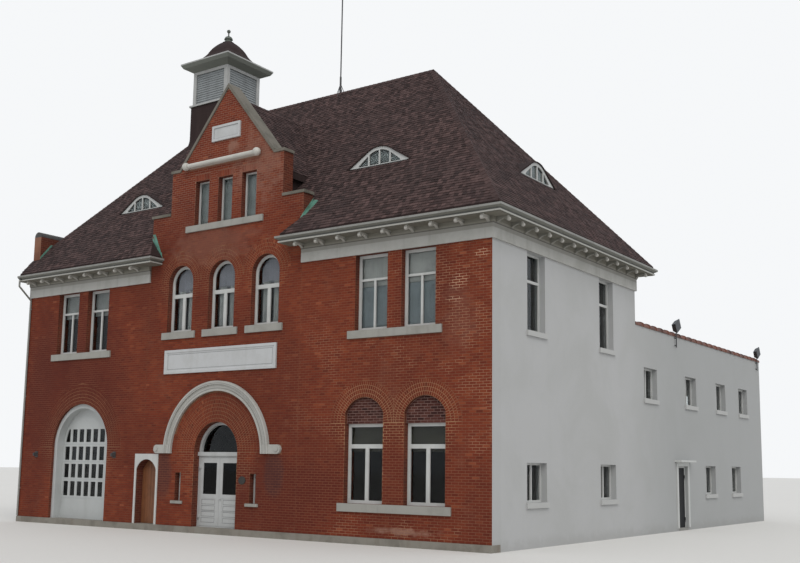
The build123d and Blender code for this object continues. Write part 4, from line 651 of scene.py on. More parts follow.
# Rows: base, aged and run colours, roughness, scale, grain scale, amounts, bump
weathered_rows = {
    "base_stone": ((0.24, 0.225, 0.195), (0.15, 0.135, 0.115), (0.17, 0.13, 0.1),
                   0.88, 1.6, 55, (0.8, 0.5), 0.004),
    "sill_stone": ((0.33, 0.325, 0.30), (0.25, 0.245, 0.22), (0.2, 0.195, 0.18),
                   0.8, 1.4, 80, (0.6, 0.45), 0.0015),
    "moulding_stone": ((0.43, 0.425, 0.40), (0.34, 0.335, 0.31), (0.25, 0.24, 0.22),
                       0.75, 1.2, 80, (0.6, 0.35), 0.0012),
    "infill_mortar": ((0.24, 0.15, 0.13), (0.13, 0.07, 0.06), (0.07, 0.04, 0.035),
                      0.9, 3, 60, (0.7, 0.5), 0.002),
    "coping_stone": ((0.17, 0.155, 0.13), (0.11, 0.104, 0.083), (0.08, 0.075, 0.063),
                     0.88, 1.5, 60, (0.8, 0.5), 0.003),
    "concrete": ((0.28, 0.275, 0.26), (0.2, 0.195, 0.18), (0.18, 0.175, 0.165),
                 0.85, 0.9, 60, (0.6, 0.3), 0.002),
    "window_paint": ((0.54, 0.55, 0.54), (0.45, 0.455, 0.44), (0.36, 0.36, 0.34),
                     0.5, 2.0, 90, (0.5, 0.3), 0.0006),
    "door_paint": ((0.44, 0.45, 0.45), (0.37, 0.375, 0.37), (0.3, 0.3, 0.29),
                   0.48, 1.6, 90, (0.5, 0.3), 0.0006),
    "leaf_paint": ((0.45, 0.46, 0.46), (0.39, 0.395, 0.39), (0.33, 0.33, 0.32),
                   0.48, 1.6, 90, (0.5, 0.3), 0.0006),
    "garage_paint": ((0.47, 0.49, 0.49), (0.41, 0.425, 0.42), (0.33, 0.335, 0.33),
                     0.5, 1.2, 90, (0.5, 0.35), 0.0006),
    "pale_trim": ((0.43, 0.425, 0.395), (0.33, 0.325, 0.295), (0.24, 0.235, 0.21),
                  0.65, 1.3, 70, (0.7, 0.5), 0.001),
    "knob_paint": ((0.55, 0.54, 0.50), (0.44, 0.43, 0.39), (0.34, 0.33, 0.3),
                   0.6, 1.3, 70, (0.5, 0.3), 0.001),
    # The brackets' dark base and the soffit's dark olive include painted shade under the eaves
    "bracket_paint": ((0.23, 0.225, 0.2), (0.17, 0.165, 0.14), (0.13, 0.125, 0.1),
                      0.65, 1.3, 70, (0.6, 0.4), 0.001),
    "soffit_paint": ((0.17, 0.16, 0.13), (0.12, 0.115, 0.095), (0.09, 0.085, 0.07),
                     0.75, 1.5, 70, (0.7, 0.5), 0.001),
    "gutter_paint": ((0.27, 0.27, 0.255), (0.21, 0.21, 0.195), (0.15, 0.145, 0.135),
                     0.65, 1.3, 70, (0.7, 0.5), 0.001),
    "frieze_paint": ((0.43, 0.427, 0.405), (0.33, 0.327, 0.3), (0.25, 0.245, 0.22),
                     0.65, 1.3, 70, (0.7, 0.5), 0.001),
    "cupola_trim_paint": ((0.42, 0.425, 0.42), (0.34, 0.345, 0.34), (0.25, 0.25, 0.24),
                          0.65, 1.3, 70, (0.7, 0.5), 0.001),
    "finial_paint": ((0.11, 0.125, 0.105), (0.07, 0.08, 0.07), (0.05, 0.055, 0.05),
                     0.6, 4, 70, (0.7, 0.5), 0.001),
    "panel_paint": ((0.51, 0.52, 0.53), (0.43, 0.435, 0.43), (0.36, 0.36, 0.34),
                    0.5, 2.0, 90, (0.5, 0.3), 0.0006),
    "cupola_paint": ((0.265, 0.285, 0.295), (0.21, 0.225, 0.23), (0.16, 0.165, 0.17),
                     0.7, 3, 70, (0.7, 0.5), 0.001),
    "tar_coping": ((0.06, 0.058, 0.058), (0.09, 0.087, 0.082), (0.05, 0.048, 0.046),
                   0.85, 3, 70, (0.7, 0.5), 0.002),
    "green_copper": ((0.11, 0.27, 0.21), (0.07, 0.16, 0.12), (0.05, 0.07, 0.05),
                     0.6, 3, 60, (0.6, 0.5), 0.001),
    "lamp_metal": ((0.04, 0.04, 0.042), (0.07, 0.065, 0.06), (0.09, 0.075, 0.06),
                   0.5, 6, 90, (0.5, 0.4), 0.0004),
    "plate_bronze": ((0.018, 0.016, 0.013), (0.03, 0.026, 0.02), (0.04, 0.03, 0.02),
                     0.5, 6, 90, (0.5, 0.4), 0.0004),
    "flat_roof_felt": ((0.1, 0.1, 0.105), (0.15, 0.148, 0.14), (0.07, 0.07, 0.07),
                       0.9, 0.5, 50, (0.7, 0.3), 0.003),
    "floor_timber": ((0.17, 0.115, 0.07), (0.12, 0.08, 0.05), (0.1, 0.065, 0.04),
                     0.6, 1.5, 60, (0.6, 0.2), 0.001)}
for name, row in weathered_rows.items():
    weathered(name, *row, marks=marks_of.get(name, ()))
print("weathered finishes", len(weathered_rows))


# %% [markdown]
# A few need more than a row: the steel of the hinges is a metal, the side door is nearly
# without gloss, the niche's boards have an upright grain, the clay tiles are blotched with
# sharp edges, and the floor is almost even. Cloth in the windows has soft upright shades.

# %% Finishes with a habit of their own
weathered("hinge_steel", (0.45, 0.45, 0.44), (0.3, 0.28, 0.25), (0.2, 0.17, 0.14),
          0.38, 30, 200, (0.5, 0.3), 0.0002, metallic=0.9)
door_shader = weathered("dark_door", (0.018, 0.018, 0.02), (0.03, 0.03, 0.03),
                        (0.045, 0.043, 0.04), 0.6, 2, 90, (0.5, 0.4), 0.0005)
door_shader.inputs["Specular IOR Level"].default_value = 0.12
weathered("stained_boards", (0.21, 0.08, 0.032), (0.13, 0.048, 0.022), (0.085, 0.034, 0.018),
          0.5, 3, 90, (0.6, 0.5), 0.001, widths=(30, 1.2))
weathered("clay_tile", (0.19, 0.078, 0.055), (0.09, 0.05, 0.042), (0.06, 0.04, 0.035),
          0.75, 3.2, 60, (0.85, 0.5), 0.002, edges=(0.45, 0.56))
weathered("pale_floor", (0.70, 0.69, 0.67), (0.68, 0.67, 0.65), (0.69, 0.68, 0.66),
          0.9, 0.05, 8, (0.5, 0.1), 0.0005, grain=0.02)
# The near-black blind of the lower windows is painted shade of the dark rooms behind them.
cloth_colours = {
    "pale_blind": (0.50, 0.50, 0.48), "blue_blind": (0.34, 0.34, 0.39),
    "sheer_cloth": (0.26, 0.30, 0.32), "dim_blind": (0.055, 0.05, 0.035),
    "attic_blind": (0.30, 0.33, 0.33), "grey_blind": (0.34, 0.35, 0.34),
    "curtain_cloth": (0.42, 0.43, 0.42)}
for name, colour in cloth_colours.items():
    weathered(name, colour, [c * 0.8 for c in colour], [c * 0.5 for c in colour], 0.9, 2, 120,
              (0.5, 0.7 if name == "curtain_cloth" else 0.3), 0.0005, widths=(12, 0.8))
add_floor("pale_floor")


# %% [markdown]
# Shingles take a tone for each tab, streaks down the slope and bright mineral grains. The panes
# are real glass with a faint wave, clear in the windows; in the entrance doors they are tinted
# near black as painted shade of the room behind.

# %% Shingles and glass
def shingle_finish(base=(0.062, 0.038, 0.036)):
    """Base colour, darker or brighter by the tab's tone, under patches, streaks and grains."""
    tree, shader = start_material("shingle", 0.9)
    shader.inputs["Specular IOR Level"].default_value = 0.2
    broad = place_group(tree, patches_group, Scale=0.5, Low=0.38, High=0.7, Grain_Scale=150)
    runs = place_group(tree, runs_group, Width=2.2, Length=0.25, Low=0.5, High=0.78)
    colour = tone_colour(tree, [(stop, [c * bright for c in base])
                                for stop, bright in ((0, 0.5), (0.5, 1), (1, 1.75))])
    bright_grains = soft_step(tree, broad["Grain"], 0.55, 0.75)
    set_colour(tree, shader, layered(tree, colour, (
        (broad["Patches"], 0.4, (0.036, 0.026, 0.026)),
        (runs["Runs"], 0.25, (0.085, 0.058, 0.054)),
        (bright_grains, 0.35, (0.12, 0.09, 0.085)))))
    set_bump(tree, shader, broad["Grain"], 0.6, 0.003)


def glass_finish(name, tint):
    """Clear pane of one tint, with a faint wave."""
    tree, shader = start_material(name, 0.02)
    aged = place_group(tree, patches_group, Scale=1.5, Low=0.4, High=0.7, Grain_Scale=2.2)
    shader.inputs["Transmission Weight"].default_value = 1
    shader.inputs["IOR"].default_value = 1.22
    set_colour(tree, shader, layered(tree, (*tint, 1), [
        (aged["Patches"], 0.4, [c * 0.8 for c in tint])]))
    set_bump(tree, shader, aged["Grain"], 0.08, 0.02)


shingle_finish()
glass_finish("window_pane", (0.78, 0.81, 0.81))
# The door panes are tinted near black as painted shade of the room behind them.
glass_finish("door_pane", (0.07, 0.075, 0.072))
print("finishes", len(finish_named))

# %% [markdown]
# ## Finishes on the solid model
# Each solid keeps its shape and takes the finish that its slot in the record names. A few solids
# of one slot differ on the real building, such as the board over the entrance, so they are set
# by their own name.

# %% Give the solids their finishes
finish_of_slot = {"brick": "brick_wall", "copper": "green_copper", "membrane": "flat_roof_felt"}
finish_of_node = {
    "eave_box": "soffit_paint", "eave_brackets": "bracket_paint", "gutter": "gutter_paint",
    "frieze": "frieze_paint", "cupola_trim": "cupola_trim_paint", "finial": "finial_paint",
    "date_panel": "panel_paint", "name_board": "panel_paint", "hood_mould": "moulding_stone",
    "roll_moulding": "knob_paint", "parapet_coping": "tar_coping",
    "arch_infill": "infill_mortar", "entrance_left_leaf": "leaf_paint",
    "entrance_right_leaf": "leaf_paint", "entrance_left_glass": "door_pane",
    "entrance_right_glass": "door_pane"}
for row in frame["record"]["subparts"]:
    name, slot = row["node"], row["material_slot"]
    finish = finish_of_node.get(name) or finish_of_slot.get(slot, slot)
    nodes[name].data.materials.clear()
    nodes[name].data.materials.append(finish_named[finish])
print("finished", len(nodes), "solids")

# %% [markdown]
# ## Laying courses
# Bricks, roof tabs and boards are all the same job: rows of blocks on a flat face, each row
# half a block out of step with the one below, cut where a hole, an arch or a hip line gets in
# the way. A row is kept as stretches with a left and a right end at its bottom and at its top,
# so a block can be cut on a slant.

# %% Rows cut by holes and arches
def worth_laying(parts, least_height=0.018, least_length=0.02):
    """The parts that are not mere slivers."""
    return [p for p in parts if p[5] - p[4] > least_height
            and max(p[2] - p[0], p[3] - p[1]) > least_length]


def without_box(stretch, box):
    """Parts of a stretch outside a box, the ones over or under it kept at their own height."""
    left, right, low, high = box
    lb, lt, rb, rt, bottom, top = stretch
    if (high <= bottom + 1e-4 or low >= top - 1e-4 or right <= min(lb, lt)
            or left >= max(rb, rt)):
        return [stretch]
    middle = (max(lb, left), max(lt, left), min(rb, right), min(rt, right))
    return worth_laying([(lb, lt, min(rb, left), min(rt, left), bottom, top),
                         (max(lb, right), max(lt, right), rb, rt, bottom, top),
                         (*middle, high, top), (*middle, bottom, low)])


def without_circle(stretch, circle):
    """Parts of a stretch outside a circle (x, level, radius, start), from the start level up."""
    x, level, radius, start = circle
    lb, lt, rb, rt, bottom, top = stretch
    wide, narrow = (np.sqrt(max(radius ** 2 - max(height - level, 0) ** 2, 0))
                    for height in (bottom, top))
    if top <= start + 0.02 or wide == 0 or x + wide < min(lb, lt) or x - wide > max(rb, rt):
        return [stretch]
    return worth_laying([(lb, lt, min(rb, x - wide), min(rt, x - narrow), bottom, top),
                         (max(lb, x + wide), max(lt, x + narrow), rb, rt, bottom, top),
                         (max(lb, x - wide), max(lt, x - wide), min(rb, x + wide),
                          min(rt, x + wide), bottom, start)])


def rows_between(bottom, top, height, edges, boxes=(), circles=()):
    """Stretches of every row: edges(level) gives the left and right limit of the face."""
    stretches = []
    for k, low in enumerate(np.arange(bottom, top - 0.018, height)):
        high = min(low + height, top)
        (lb, rb), (lt, rt) = edges(low + 1e-4), edges(high - 1e-4)
        row = [(lb, lt, rb, rt, low, high)]
        for cut, holes in ((without_box, boxes), (without_circle, circles)):
            for hole in holes:
                row = [part for stretch in row for part in cut(stretch, hole)]
        stretches += [(k, *stretch) for stretch in row]
    return stretches


def outline_array(corners):
    """(n, 4, 2) array from four corners, each a pair of arrays: places along and levels."""
    return np.stack([np.stack(np.broadcast_arrays(*pair), -1) for pair in corners], 1)


def blocks_in_rows(stretches, pitch, gap, stagger=0.5, least=0.03, jitter=0.0):
    """Outlines of the blocks: upright joints, moved on by stagger with each row."""
    made = []
    for k, lb, lt, rb, rt, bottom, top in stretches:
        first = np.floor(min(lb, lt) / pitch - 1)
        last = np.ceil(max(rb, rt) / pitch + 1)
        cuts = np.arange(first, last + 1) + stagger * k % 1
        if jitter:
            cuts += rng.uniform(-jitter, jitter, len(cuts))
        cuts *= pitch
        low, high = (np.stack([np.clip(cuts[:-1], left, right), np.clip(cuts[1:], left, right)], -1)
                     for left, right in ((lb, rb), (lt, rt)))
        keep = np.maximum(low[:, 1] - low[:, 0], high[:, 1] - high[:, 0]) > least
        low, high = low[keep], high[keep]
        for ends in (low, high):
            short = np.maximum(gap + 0.004 - (ends[:, 1] - ends[:, 0]), 0)
            ends[:, 0] += gap / 2 - short / 2
            ends[:, 1] -= gap / 2 - short / 2
        foot, head = bottom + gap / 2, top - gap / 2
        made.append(outline_array([(low[:, 0], foot), (low[:, 1], foot), (high[:, 1], head),
                                   (high[:, 0], head)]))
    return np.concatenate(made)


# %% [markdown]
# A block is its outline on the face, and the same outline a little smaller and raised off it.
# The raised outline can be higher along its lower edge, as an overlapping roof tab is. A face is
# a point of origin, the direction along it and the direction up it.

# %% Blocks raised off a face
def raise_blocks(outlines, face, depth, lift, top_lift=None, chamfer=0.004):
    """Points and faces of blocks: point = origin + u along + v up + height outwards."""
    origin, along, up = (np.asarray(v, float) for v in face)
    outward = np.cross(along, up)
    middle = outlines.mean(1, keepdims=True)
    across = outlines[:, 1] + outlines[:, 2] - outlines[:, 0] - outlines[:, 3]
    across /= np.linalg.norm(across, axis=-1, keepdims=True)
    upward = np.stack([-across[:, 1], across[:, 0]], -1)
    raised = middle
    for direction in (across[:, None], upward[:, None]):
        reach = ((outlines - middle) * direction).sum(-1)
        reach = np.sign(reach) * np.maximum(abs(reach) - chamfer, 0.0015)
        raised = raised + reach[..., None] * direction
    low = np.broadcast_to(lift, len(outlines))
    high = low if top_lift is None else np.full(len(outlines), top_lift)
    heights = np.stack([low, low, high, high], -1)[..., None]
    back = origin + outlines[..., :1] * along + outlines[..., 1:] * up - depth * outward
    front_points = origin + raised[..., :1] * along + raised[..., 1:] * up + heights * outward
    points = np.concatenate([back, front_points], 1).reshape(-1, 3)
    one = np.array([[4, 5, 6, 7], [0, 1, 5, 4], [1, 2, 6, 5], [2, 3, 7, 6], [3, 0, 4, 7],
                    [0, 3, 2, 1]])
    return points, (np.arange(len(outlines))[:, None, None] * 8 + one).reshape(-1, 4)


def lay_blocks(name, outlines, face, depth, lift, finish, slot, spread=1.0, **more):
    """Piece made of blocks, with one random tone per block, the same for its eight points."""
    points, faces = raise_blocks(outlines, face, depth, lift, **more)
    tones = np.clip(0.5 + spread * (rng.beta(2.2, 2.2, len(outlines)) - 0.5), 0, 1)
    return add_piece(name, points, faces, finish, slot, tone=np.repeat(tones, 8))


def upright_face(y):
    """Face that looks out to the front at depth y, measured by X and Z."""
    return (0, y, 0), (1, 0, 0), (0, 0, 1)


# %% [markdown]
# ## The brick front
# The front is real running bond: courses of three inches and bricks of eight and a half, with
# thin raked joints. Over each arch the bricks stand on edge in rings. Drawing this with a
# texture would leave the arches flat and the joints without shadow, so each brick is a block
# five millimetres proud of the mortar bed.

# %% Holes of the front wall
ring, proud = 0.117, 0.005
upper_windows, lower_windows = (-7.775, -6.125, 6.06, 7.71), (5.88, 7.97)
arched_windows, slits, attic_windows = (-1.91, 0, 1.91), (-1.65, 1.65), (-1.065, 0, 1.065)
# Springing level, radius of the arch and half width of the hole of each kind of arch
garage_arch, door_arch = (2.74, 1.51, 1.51), (2.57, 0.955, 0.955)
arched_arch, lower_arch = (8.1975, 0.5825, 0.5825), (3.411, 0.7388, 0.68)
hood_level, hood_radius, hood_inner = 2.52, 2.31, 2.02


def boxes_at(places, half, low, high):
    """One box (left, right, low, high) for each place."""
    return [(x - half, x + half, low, high) for x in places]


sills = [(-8.59, -5.31, 5.86, 6.09), (5.25, 8.52, 5.86, 6.09), (5.0, 8.85, 0.90, 1.13)]
front_boxes = (sills + boxes_at(upper_windows, 0.58, 6.09, 8.33)
               + boxes_at(lower_windows, lower_arch[2], 1.13, lower_arch[0])
               + boxes_at(arched_windows, arched_arch[2], 6.53, arched_arch[0])
               + boxes_at(arched_windows, 0.7725, 6.30, 6.53)
               + boxes_at(slits, 0.125, 1.0, 1.9) + boxes_at(slits, 0.255, 0.91, 1.0))
doorway, garage = (-0.955, 0.955, base_top, door_arch[0]), (-8.265, -5.245, base_top, 2.74)
niche, board = (-3.735, -2.605, base_top, 2.5), (-2.485, 2.485, 5.13, 5.93)
hood_feet = [(-2.79, -1.99, hood_level, 2.80), (1.99, 2.79, hood_level, 2.80)]
front_boxes += [doorway, garage, niche, board, *hood_feet]
# Arches as (x, number of rings, springing level, radius, half width)
arches = [(-6.755, 6, *garage_arch), (0, 9, *door_arch)]
arches += [(x, 4, *arched_arch) for x in arched_windows]
arches += [(x, 4, *lower_arch) for x in lower_windows]
front_circles = [(x, level, radius + count * ring, level) for x, count, level, radius, _ in arches]
front_circles.append((0, hood_level, hood_radius, door_arch[0]))
print("holes", len(front_boxes), "arches", len(arches))

# %% Bricks of the front wall
def lay_front(name, left, right):
    """Bricks from the base up to the frieze, and up to the soffit between the piers."""
    rows = rows_between(base_top, soffit, course, lambda level: (left, right), front_boxes,
                        front_circles)
    rows = [row for row in rows
            if not (row[5] > frieze_bottom and abs(row[1] + row[3]) / 2 > pier_half)]
    lay_blocks(name, blocks_in_rows(rows, brick_pitch, joint), upright_face(front), 0.004, proud,
               "laid_brick", "brick")


lay_front("bricks_left", left_x, -pier_half)
lay_front("bricks_middle", -pier_half, pier_half)
lay_front("bricks_right", pier_half, right_x)

# %% [markdown]
# The stepped gable is laid the same way in three bands: up to the low shoulders, up to the high
# shoulders, and the sloping top, whose rows end on the slant under the coping.

# %% Bricks of the gable
attic_heads = boxes_at(attic_windows, 0.36, 11.6, 11.6 + 3 * course)
gable_boxes = boxes_at(attic_windows, 0.32, 10.08, 11.6) + attic_heads
gable_boxes += [(-1.735, 1.735, 9.87, 10.08), (-0.66, 0.61, 12.85, 13.38),
                (-1.76, 1.47, 12.05, 12.25)]


def gable_edges(level):
    """Half width of the gable: it closes in a straight line from the high shoulder to the apex."""
    half = gable_half * (apex - level) / (apex - high_shoulder)
    return -half, half


gable_rows = rows_between(soffit, low_shoulder, course, lambda level: (-pier_half, pier_half),
                          gable_boxes, front_circles)
gable_rows += rows_between(low_shoulder, high_shoulder, course,
                           lambda level: (-shoulder_half, shoulder_half), gable_boxes)
gable_rows += rows_between(high_shoulder, apex - 0.08, course, gable_edges, gable_boxes)
lay_blocks("bricks_gable", blocks_in_rows(gable_rows, brick_pitch, joint), upright_face(front),
           0.004, proud, "laid_brick", "brick")


# %% [markdown]
# A ring is a row bent round a centre. Its blocks are cut in polar coordinates: the number of
# bricks comes from the length of the ring's middle line, and where two arches meet, both stop
# at the line between them.

# %% Rings of bricks over the arches
def ring_blocks(x, count, level, radius, half, limits, brick_end=0.074, least=0.014):
    """Corners: (x + r cos a, level + r sin a) for equal steps of the angle a on each ring."""
    made = []
    for k in range(count):
        inner, outer = radius + k * ring + joint / 2, radius + (k + 1) * ring - joint / 2
        number = int(round(np.pi * (inner + outer) / 2 / brick_end))
        angle = np.linspace(np.pi, 0, number + 1)
        gap = joint / 2 / inner
        start, end = angle[:-1] - gap, angle[1:] + gap
        reach = [np.minimum(inner, (half + joint / 2) / np.maximum(abs(np.cos(a)), 1e-6))
                 for a in (start, end)] if k == 0 else [inner, inner]
        corners = [(reach[0], start), (reach[1], end), (outer, end), (outer, start)]
        made.append(outline_array([(x + r * np.cos(a), level + r * np.sin(a))
                                   for r, a in corners]))
    made = np.concatenate(made)
    low, high = limits
    made = made[(made[..., 0].max(1) > low + least) & (made[..., 0].min(1) < high - least)]
    made[..., 0] = np.clip(made[..., 0], low + joint / 2, high - joint / 2)
    return made


arch_limits = [(left_x, pier_half), (-3, 3), (-9, -0.955), (-0.955, 0.955), (0.955, 9), (0, 6.925),
               (6.925, right_x)]
rings = [ring_blocks(*arch, limits) for arch, limits in zip(arches, arch_limits)]
entrance = rings[1]
under_hood = np.hypot(entrance[..., 0], entrance[..., 1] - hood_level).max(1) < hood_inner
rings[1] = entrance[under_hood]
lay_blocks("brick_rings", np.concatenate(rings), upright_face(front), 0.004, 0.006, "laid_brick",
           "brick")
soldiers = [(0, left, left, right, right, low, high) for left, right, low, high in attic_heads]
lay_blocks("soldier_courses", blocks_in_rows(soldiers, course, joint), upright_face(front), 0.004,
           proud, "laid_brick", "brick")


# %% [markdown]
# The heads of the two big lower windows were filled with duller bricks, set back from the wall.

# %% Bricks that fill the two arched heads
def infill_rows(x):
    """Rows whose half width is that of the arch above its springing, and of the jambs below."""
    springing, radius, widest = lower_arch

    def edges(level):
        half = min(widest, np.sqrt(max(radius ** 2 - (level - springing) ** 2, 1e-6))) - 0.004
        return x - half, x + half
    return rows_between(3.39, 4.14, course, edges)


infill = np.concatenate([blocks_in_rows(infill_rows(x), brick_pitch, joint)
                         for x in lower_windows])
lay_blocks("bricks_infill", infill, upright_face(front + 0.11), 0.004, 0.004, "infill_brick",
           "brick", 1.2)

# %% [markdown]
# ## Roof tabs
# The slopes carry laminated shingles, about 13 cm of each course to the weather. A tab is a
# block whose lower edge stands off the roof while its top lies close, so every course throws a
# thin shadow. Tabs differ in width, some are doubled, and their tones are mixed. Each slope is
# a flat face with its own left and right limits: hips, valleys and the sides of the gable.

# %% Slopes as flat faces
exposure, tab_width, tab_lift, doubled = 0.127, 0.135, 0.013, 0.008


def slope_face(corner, along, run, slope):
    """Face of a slope that rises by slope per metre of run."""
    up = np.array([*run, slope], float)
    return np.array(corner, float), np.array(along, float), up / np.linalg.norm(up)


def by_level(slope, knots_left, knots_right, foot=eave_top):
    """Edge function of the distance up the slope, from (level, x) knots for both sides."""
    rise = slope / np.hypot(1, slope)
    left, right = np.array(knots_left, float).T, np.array(knots_right, float).T

    def edges(distance):
        level = foot + distance * rise
        return np.interp(level, *left), np.interp(level, *right)
    return edges


def eyebrow_height(offset):
    """Height of an eyebrow's outline: straight sides that touch a round crown."""
    half, crown, sunk = 1.34, 0.85, 0.19
    angle = np.arctan2(sunk, half) + np.arccos(crown / np.hypot(half, sunk))
    touch, touch_level = crown * np.cos(angle), crown * np.sin(angle) - sunk
    size = np.abs(offset)
    round_part = np.sqrt(np.maximum(crown ** 2 - size ** 2, 0)) - sunk
    return np.where(size < touch, round_part, touch_level * (half - size) / (half - touch))


def lay_slope(name, face, edges, length, eyebrow=None):
    """Tabs of one slope, but for those under the eyebrow dormer at (place along, base level)."""
    rows = rows_between(0, length, exposure, edges)
    tabs = blocks_in_rows(rows, tab_width, 0.004, stagger=0.618, jitter=0.22)
    if eyebrow:
        along, distance = tabs.mean(1).T
        height = face[0][2] + distance * face[2][2] - eyebrow[1]
        tabs = tabs[(height < 0) | (height > eyebrow_height(along - eyebrow[0]) - 0.05)]
    lifts = tab_lift + doubled * (rng.random(len(tabs)) < 0.45)
    lay_blocks(name, tabs, face, 0.003, lifts, "shingle", "shingle", 1.35, top_lift=0.004,
               chamfer=0.001)


# %% Tabs of the four slopes
dormers_x, front_dormer_base = (-5.67, 5.25), 11.444
side_dormer = (0.37, 11.339)
eave_length = eave_y * np.hypot(1, front_slope)
valley_foot, wall_back = 11.53, eave_top + (eave_y - 4.475) * front_slope
side_of_gable = [(eave_top, 2.9), (9.80, 3.4), (wall_back, 3.4), (wall_back + 0.01, 2.2),
                 (valley_foot - 0.01, 2.2), (valley_foot, 2.35), (cross_ridge, 0),
                 (ridge_level, 0)]
front_face = slope_face((0, -eave_y, eave_top), (1, 0, 0), (0, 1), front_slope)
hip_foot = ridge_level - (9.7 + ridge_left) * left_slope
left_verge = [(eave_top, -10.15), (9.74, -10.15), (9.75, -9.7), (hip_foot, -9.7),
              (ridge_level, ridge_left)]
lay_slope("tabs_front_right", front_face,
          by_level(front_slope, side_of_gable, [(eave_top, eave_x), (ridge_level, ridge_right)]),
          eave_length, (dormers_x[1], front_dormer_base))
lay_slope("tabs_front_left", front_face,
          by_level(front_slope, left_verge, [(z, -x) for z, x in side_of_gable]), eave_length,
          (dormers_x[0], front_dormer_base))
lay_slope("tabs_rear", slope_face((0, eave_y, eave_top), (-1, 0, 0), (0, -1), front_slope),
          by_level(front_slope, [(eave_top, -eave_x), (ridge_level, -ridge_right)],
                   [(eave_top, 9.7), (hip_foot, 9.7), (ridge_level, -ridge_left)]), eave_length)
lay_slope("tabs_right", slope_face((eave_x, 0, eave_top), (0, 1, 0), (-1, 0), right_slope),
          by_level(right_slope, [(eave_top, -eave_y), (ridge_level, 0)],
                   [(eave_top, eave_y), (ridge_level, 0)]),
          (eave_x - ridge_right) * np.hypot(1, right_slope), side_dormer)
lay_slope("tabs_left", slope_face((-9.7, 0, hip_foot), (0, -1, 0), (1, 0), left_slope),
          by_level(left_slope, [(hip_foot, -4.486), (ridge_level, 0)],
                   [(hip_foot, 4.486), (ridge_level, 0)], hip_foot),
          (9.7 + ridge_left) * np.hypot(1, left_slope))

# %% [markdown]
# The roof behind the gable is a small one that runs into the big slope. Its far end follows the
# valley, where both planes have the same height.

# %% Tabs of the roof behind the gable
def valley_y(level):
    """Where the big front slope has this level."""
    return (level - eave_top) / front_slope - eave_y


cross_foot = cross_ridge - cross_half * cross_slope
cross_length = cross_half * np.hypot(1, cross_slope)
for name, side in (("tabs_gable_right", 1), ("tabs_gable_left", -1)):
    cross_face = slope_face((side * cross_half, 0, cross_foot), (0, side, 0), (-side, 0),
                            cross_slope)
    ends = [[(level, y * side) for level, y in knots] for knots in (
        ((cross_foot, -4.47), (cross_ridge, -4.47)),
        ((cross_foot, valley_y(cross_foot)), (cross_ridge, valley_y(cross_ridge))))]
    lay_slope(name, cross_face, by_level(cross_slope, *ends[::side], cross_foot), cross_length)


# %% [markdown]
# ## Hip and ridge caps
# Where two slopes meet, folded caps lap up the line. Each is a shallow fold of three points
# across, thin, lifted at its lower end.

# %% Caps along hips and ridges
def fold_caps(start, end, normal_a, normal_b, pitch=0.2, reach=0.14):
    """Caps from start up to end: middle point on the line, side points down each slope."""
    start, end = np.asarray(start, float), np.asarray(end, float)
    length = np.linalg.norm(end - start)
    line = (end - start) / length
    count = int(length / pitch)
    step = length / count
    sides = []
    for normal, other in ((normal_a, normal_b), (normal_b, normal_a)):
        normal = np.asarray(normal, float) / np.linalg.norm(normal)
        across = np.cross(normal, line)
        across *= -np.sign(across @ np.asarray(other, float))
        sides.append((normal, across))
    (na, ca), (nb, cb) = sides
    crest = (na + nb) / np.linalg.norm(na + nb)
    at = np.arange(count)[:, None] * step
    points = []
    for offset, lift in ((0.0, 0.024), (step + 0.02, 0.013)):
        base = start + (at + offset) * line
        for thick in (0.0, -0.012):
            points += [base + ca * reach + na * (lift + thick),
                       base + crest * (lift + thick + 0.006),
                       base + cb * reach + nb * (lift + thick)]
    points = np.stack(points, 1)
    one = np.array([[0, 1, 7, 6], [1, 2, 8, 7], [3, 9, 10, 4], [4, 10, 11, 5], [0, 3, 4, 1],
                    [1, 4, 5, 2], [6, 7, 10, 9], [7, 8, 11, 10], [0, 6, 9, 3], [2, 5, 11, 8]])
    faces = (np.arange(count)[:, None, None] * 12 + one).reshape(-1, 4)
    first = points[0]
    if np.cross(first[1] - first[0], first[7] - first[0]) @ crest < 0:
        faces = faces[:, ::-1]
    return points.reshape(-1, 3), faces


def join_parts(parts):
    """One point and one face array from several, the face numbers moved along."""
    starts = np.cumsum([0] + [len(points) for points, _ in parts[:-1]])
    return (np.concatenate([points for points, _ in parts]),
            np.concatenate([faces + start for (_, faces), start in zip(parts, starts)]))


normals = {"front": (0, -front_slope, 1), "rear": (0, front_slope, 1),
           "right": (right_slope, 0, 1), "left": (-left_slope, 0, 1),
           "cross_right": (cross_slope, 0, 1), "cross_left": (-cross_slope, 0, 1)}
right_top, left_top = (ridge_right, 0, ridge_level), (ridge_left, 0, ridge_level)
right_foot = (eave_x - 0.04, eave_y - 0.04, eave_top + 0.04)
left_foot = (-9.66, 4.45, hip_foot + 0.04)
cap_lines = [((right_foot[0], -right_foot[1], right_foot[2]), right_top, "front", "right"),
             (right_foot, right_top, "right", "rear"),
             ((left_foot[0], -left_foot[1], left_foot[2]), left_top, "front", "left"),
             (left_foot, left_top, "left", "rear"),
             ((ridge_left + 1.5, 0, ridge_level), right_top, "front", "rear"),
             ((0, -4.44, cross_ridge), (0, valley_y(cross_ridge) - 0.05, cross_ridge),
              "cross_right", "cross_left")]
cap_points, cap_faces = join_parts([fold_caps(a, b, normals[c], normals[d])
                                    for a, b, c, d in cap_lines])
cap_tones = np.repeat(rng.uniform(0.2, 0.8, len(cap_points) // 12), 12)
add_piece("ridge_caps", cap_points, cap_faces, "shingle", "shingle", tone=cap_tones)

# %% [markdown]
# Green copper covers the joints beside the gable: one strip stands on the wall on the left, the
# other lies on the slope on the right.

# %% Copper aprons
for name, outline, face, lift in (
        ("wall_apron", [(-2.99, 9.16), (-2.86, 9.16), (-3.27, 10.02), (-3.40, 10.02)],
         upright_face(front), 0.012),
        ("slope_apron", [(3.41, 0.80), (3.46, 0.80), (3.62, 1.50), (3.41, 1.58)],
         front_face, 0.024)):
    lay_blocks(name, np.array([outline]), face, 0.001, lift, "green_copper", "copper")

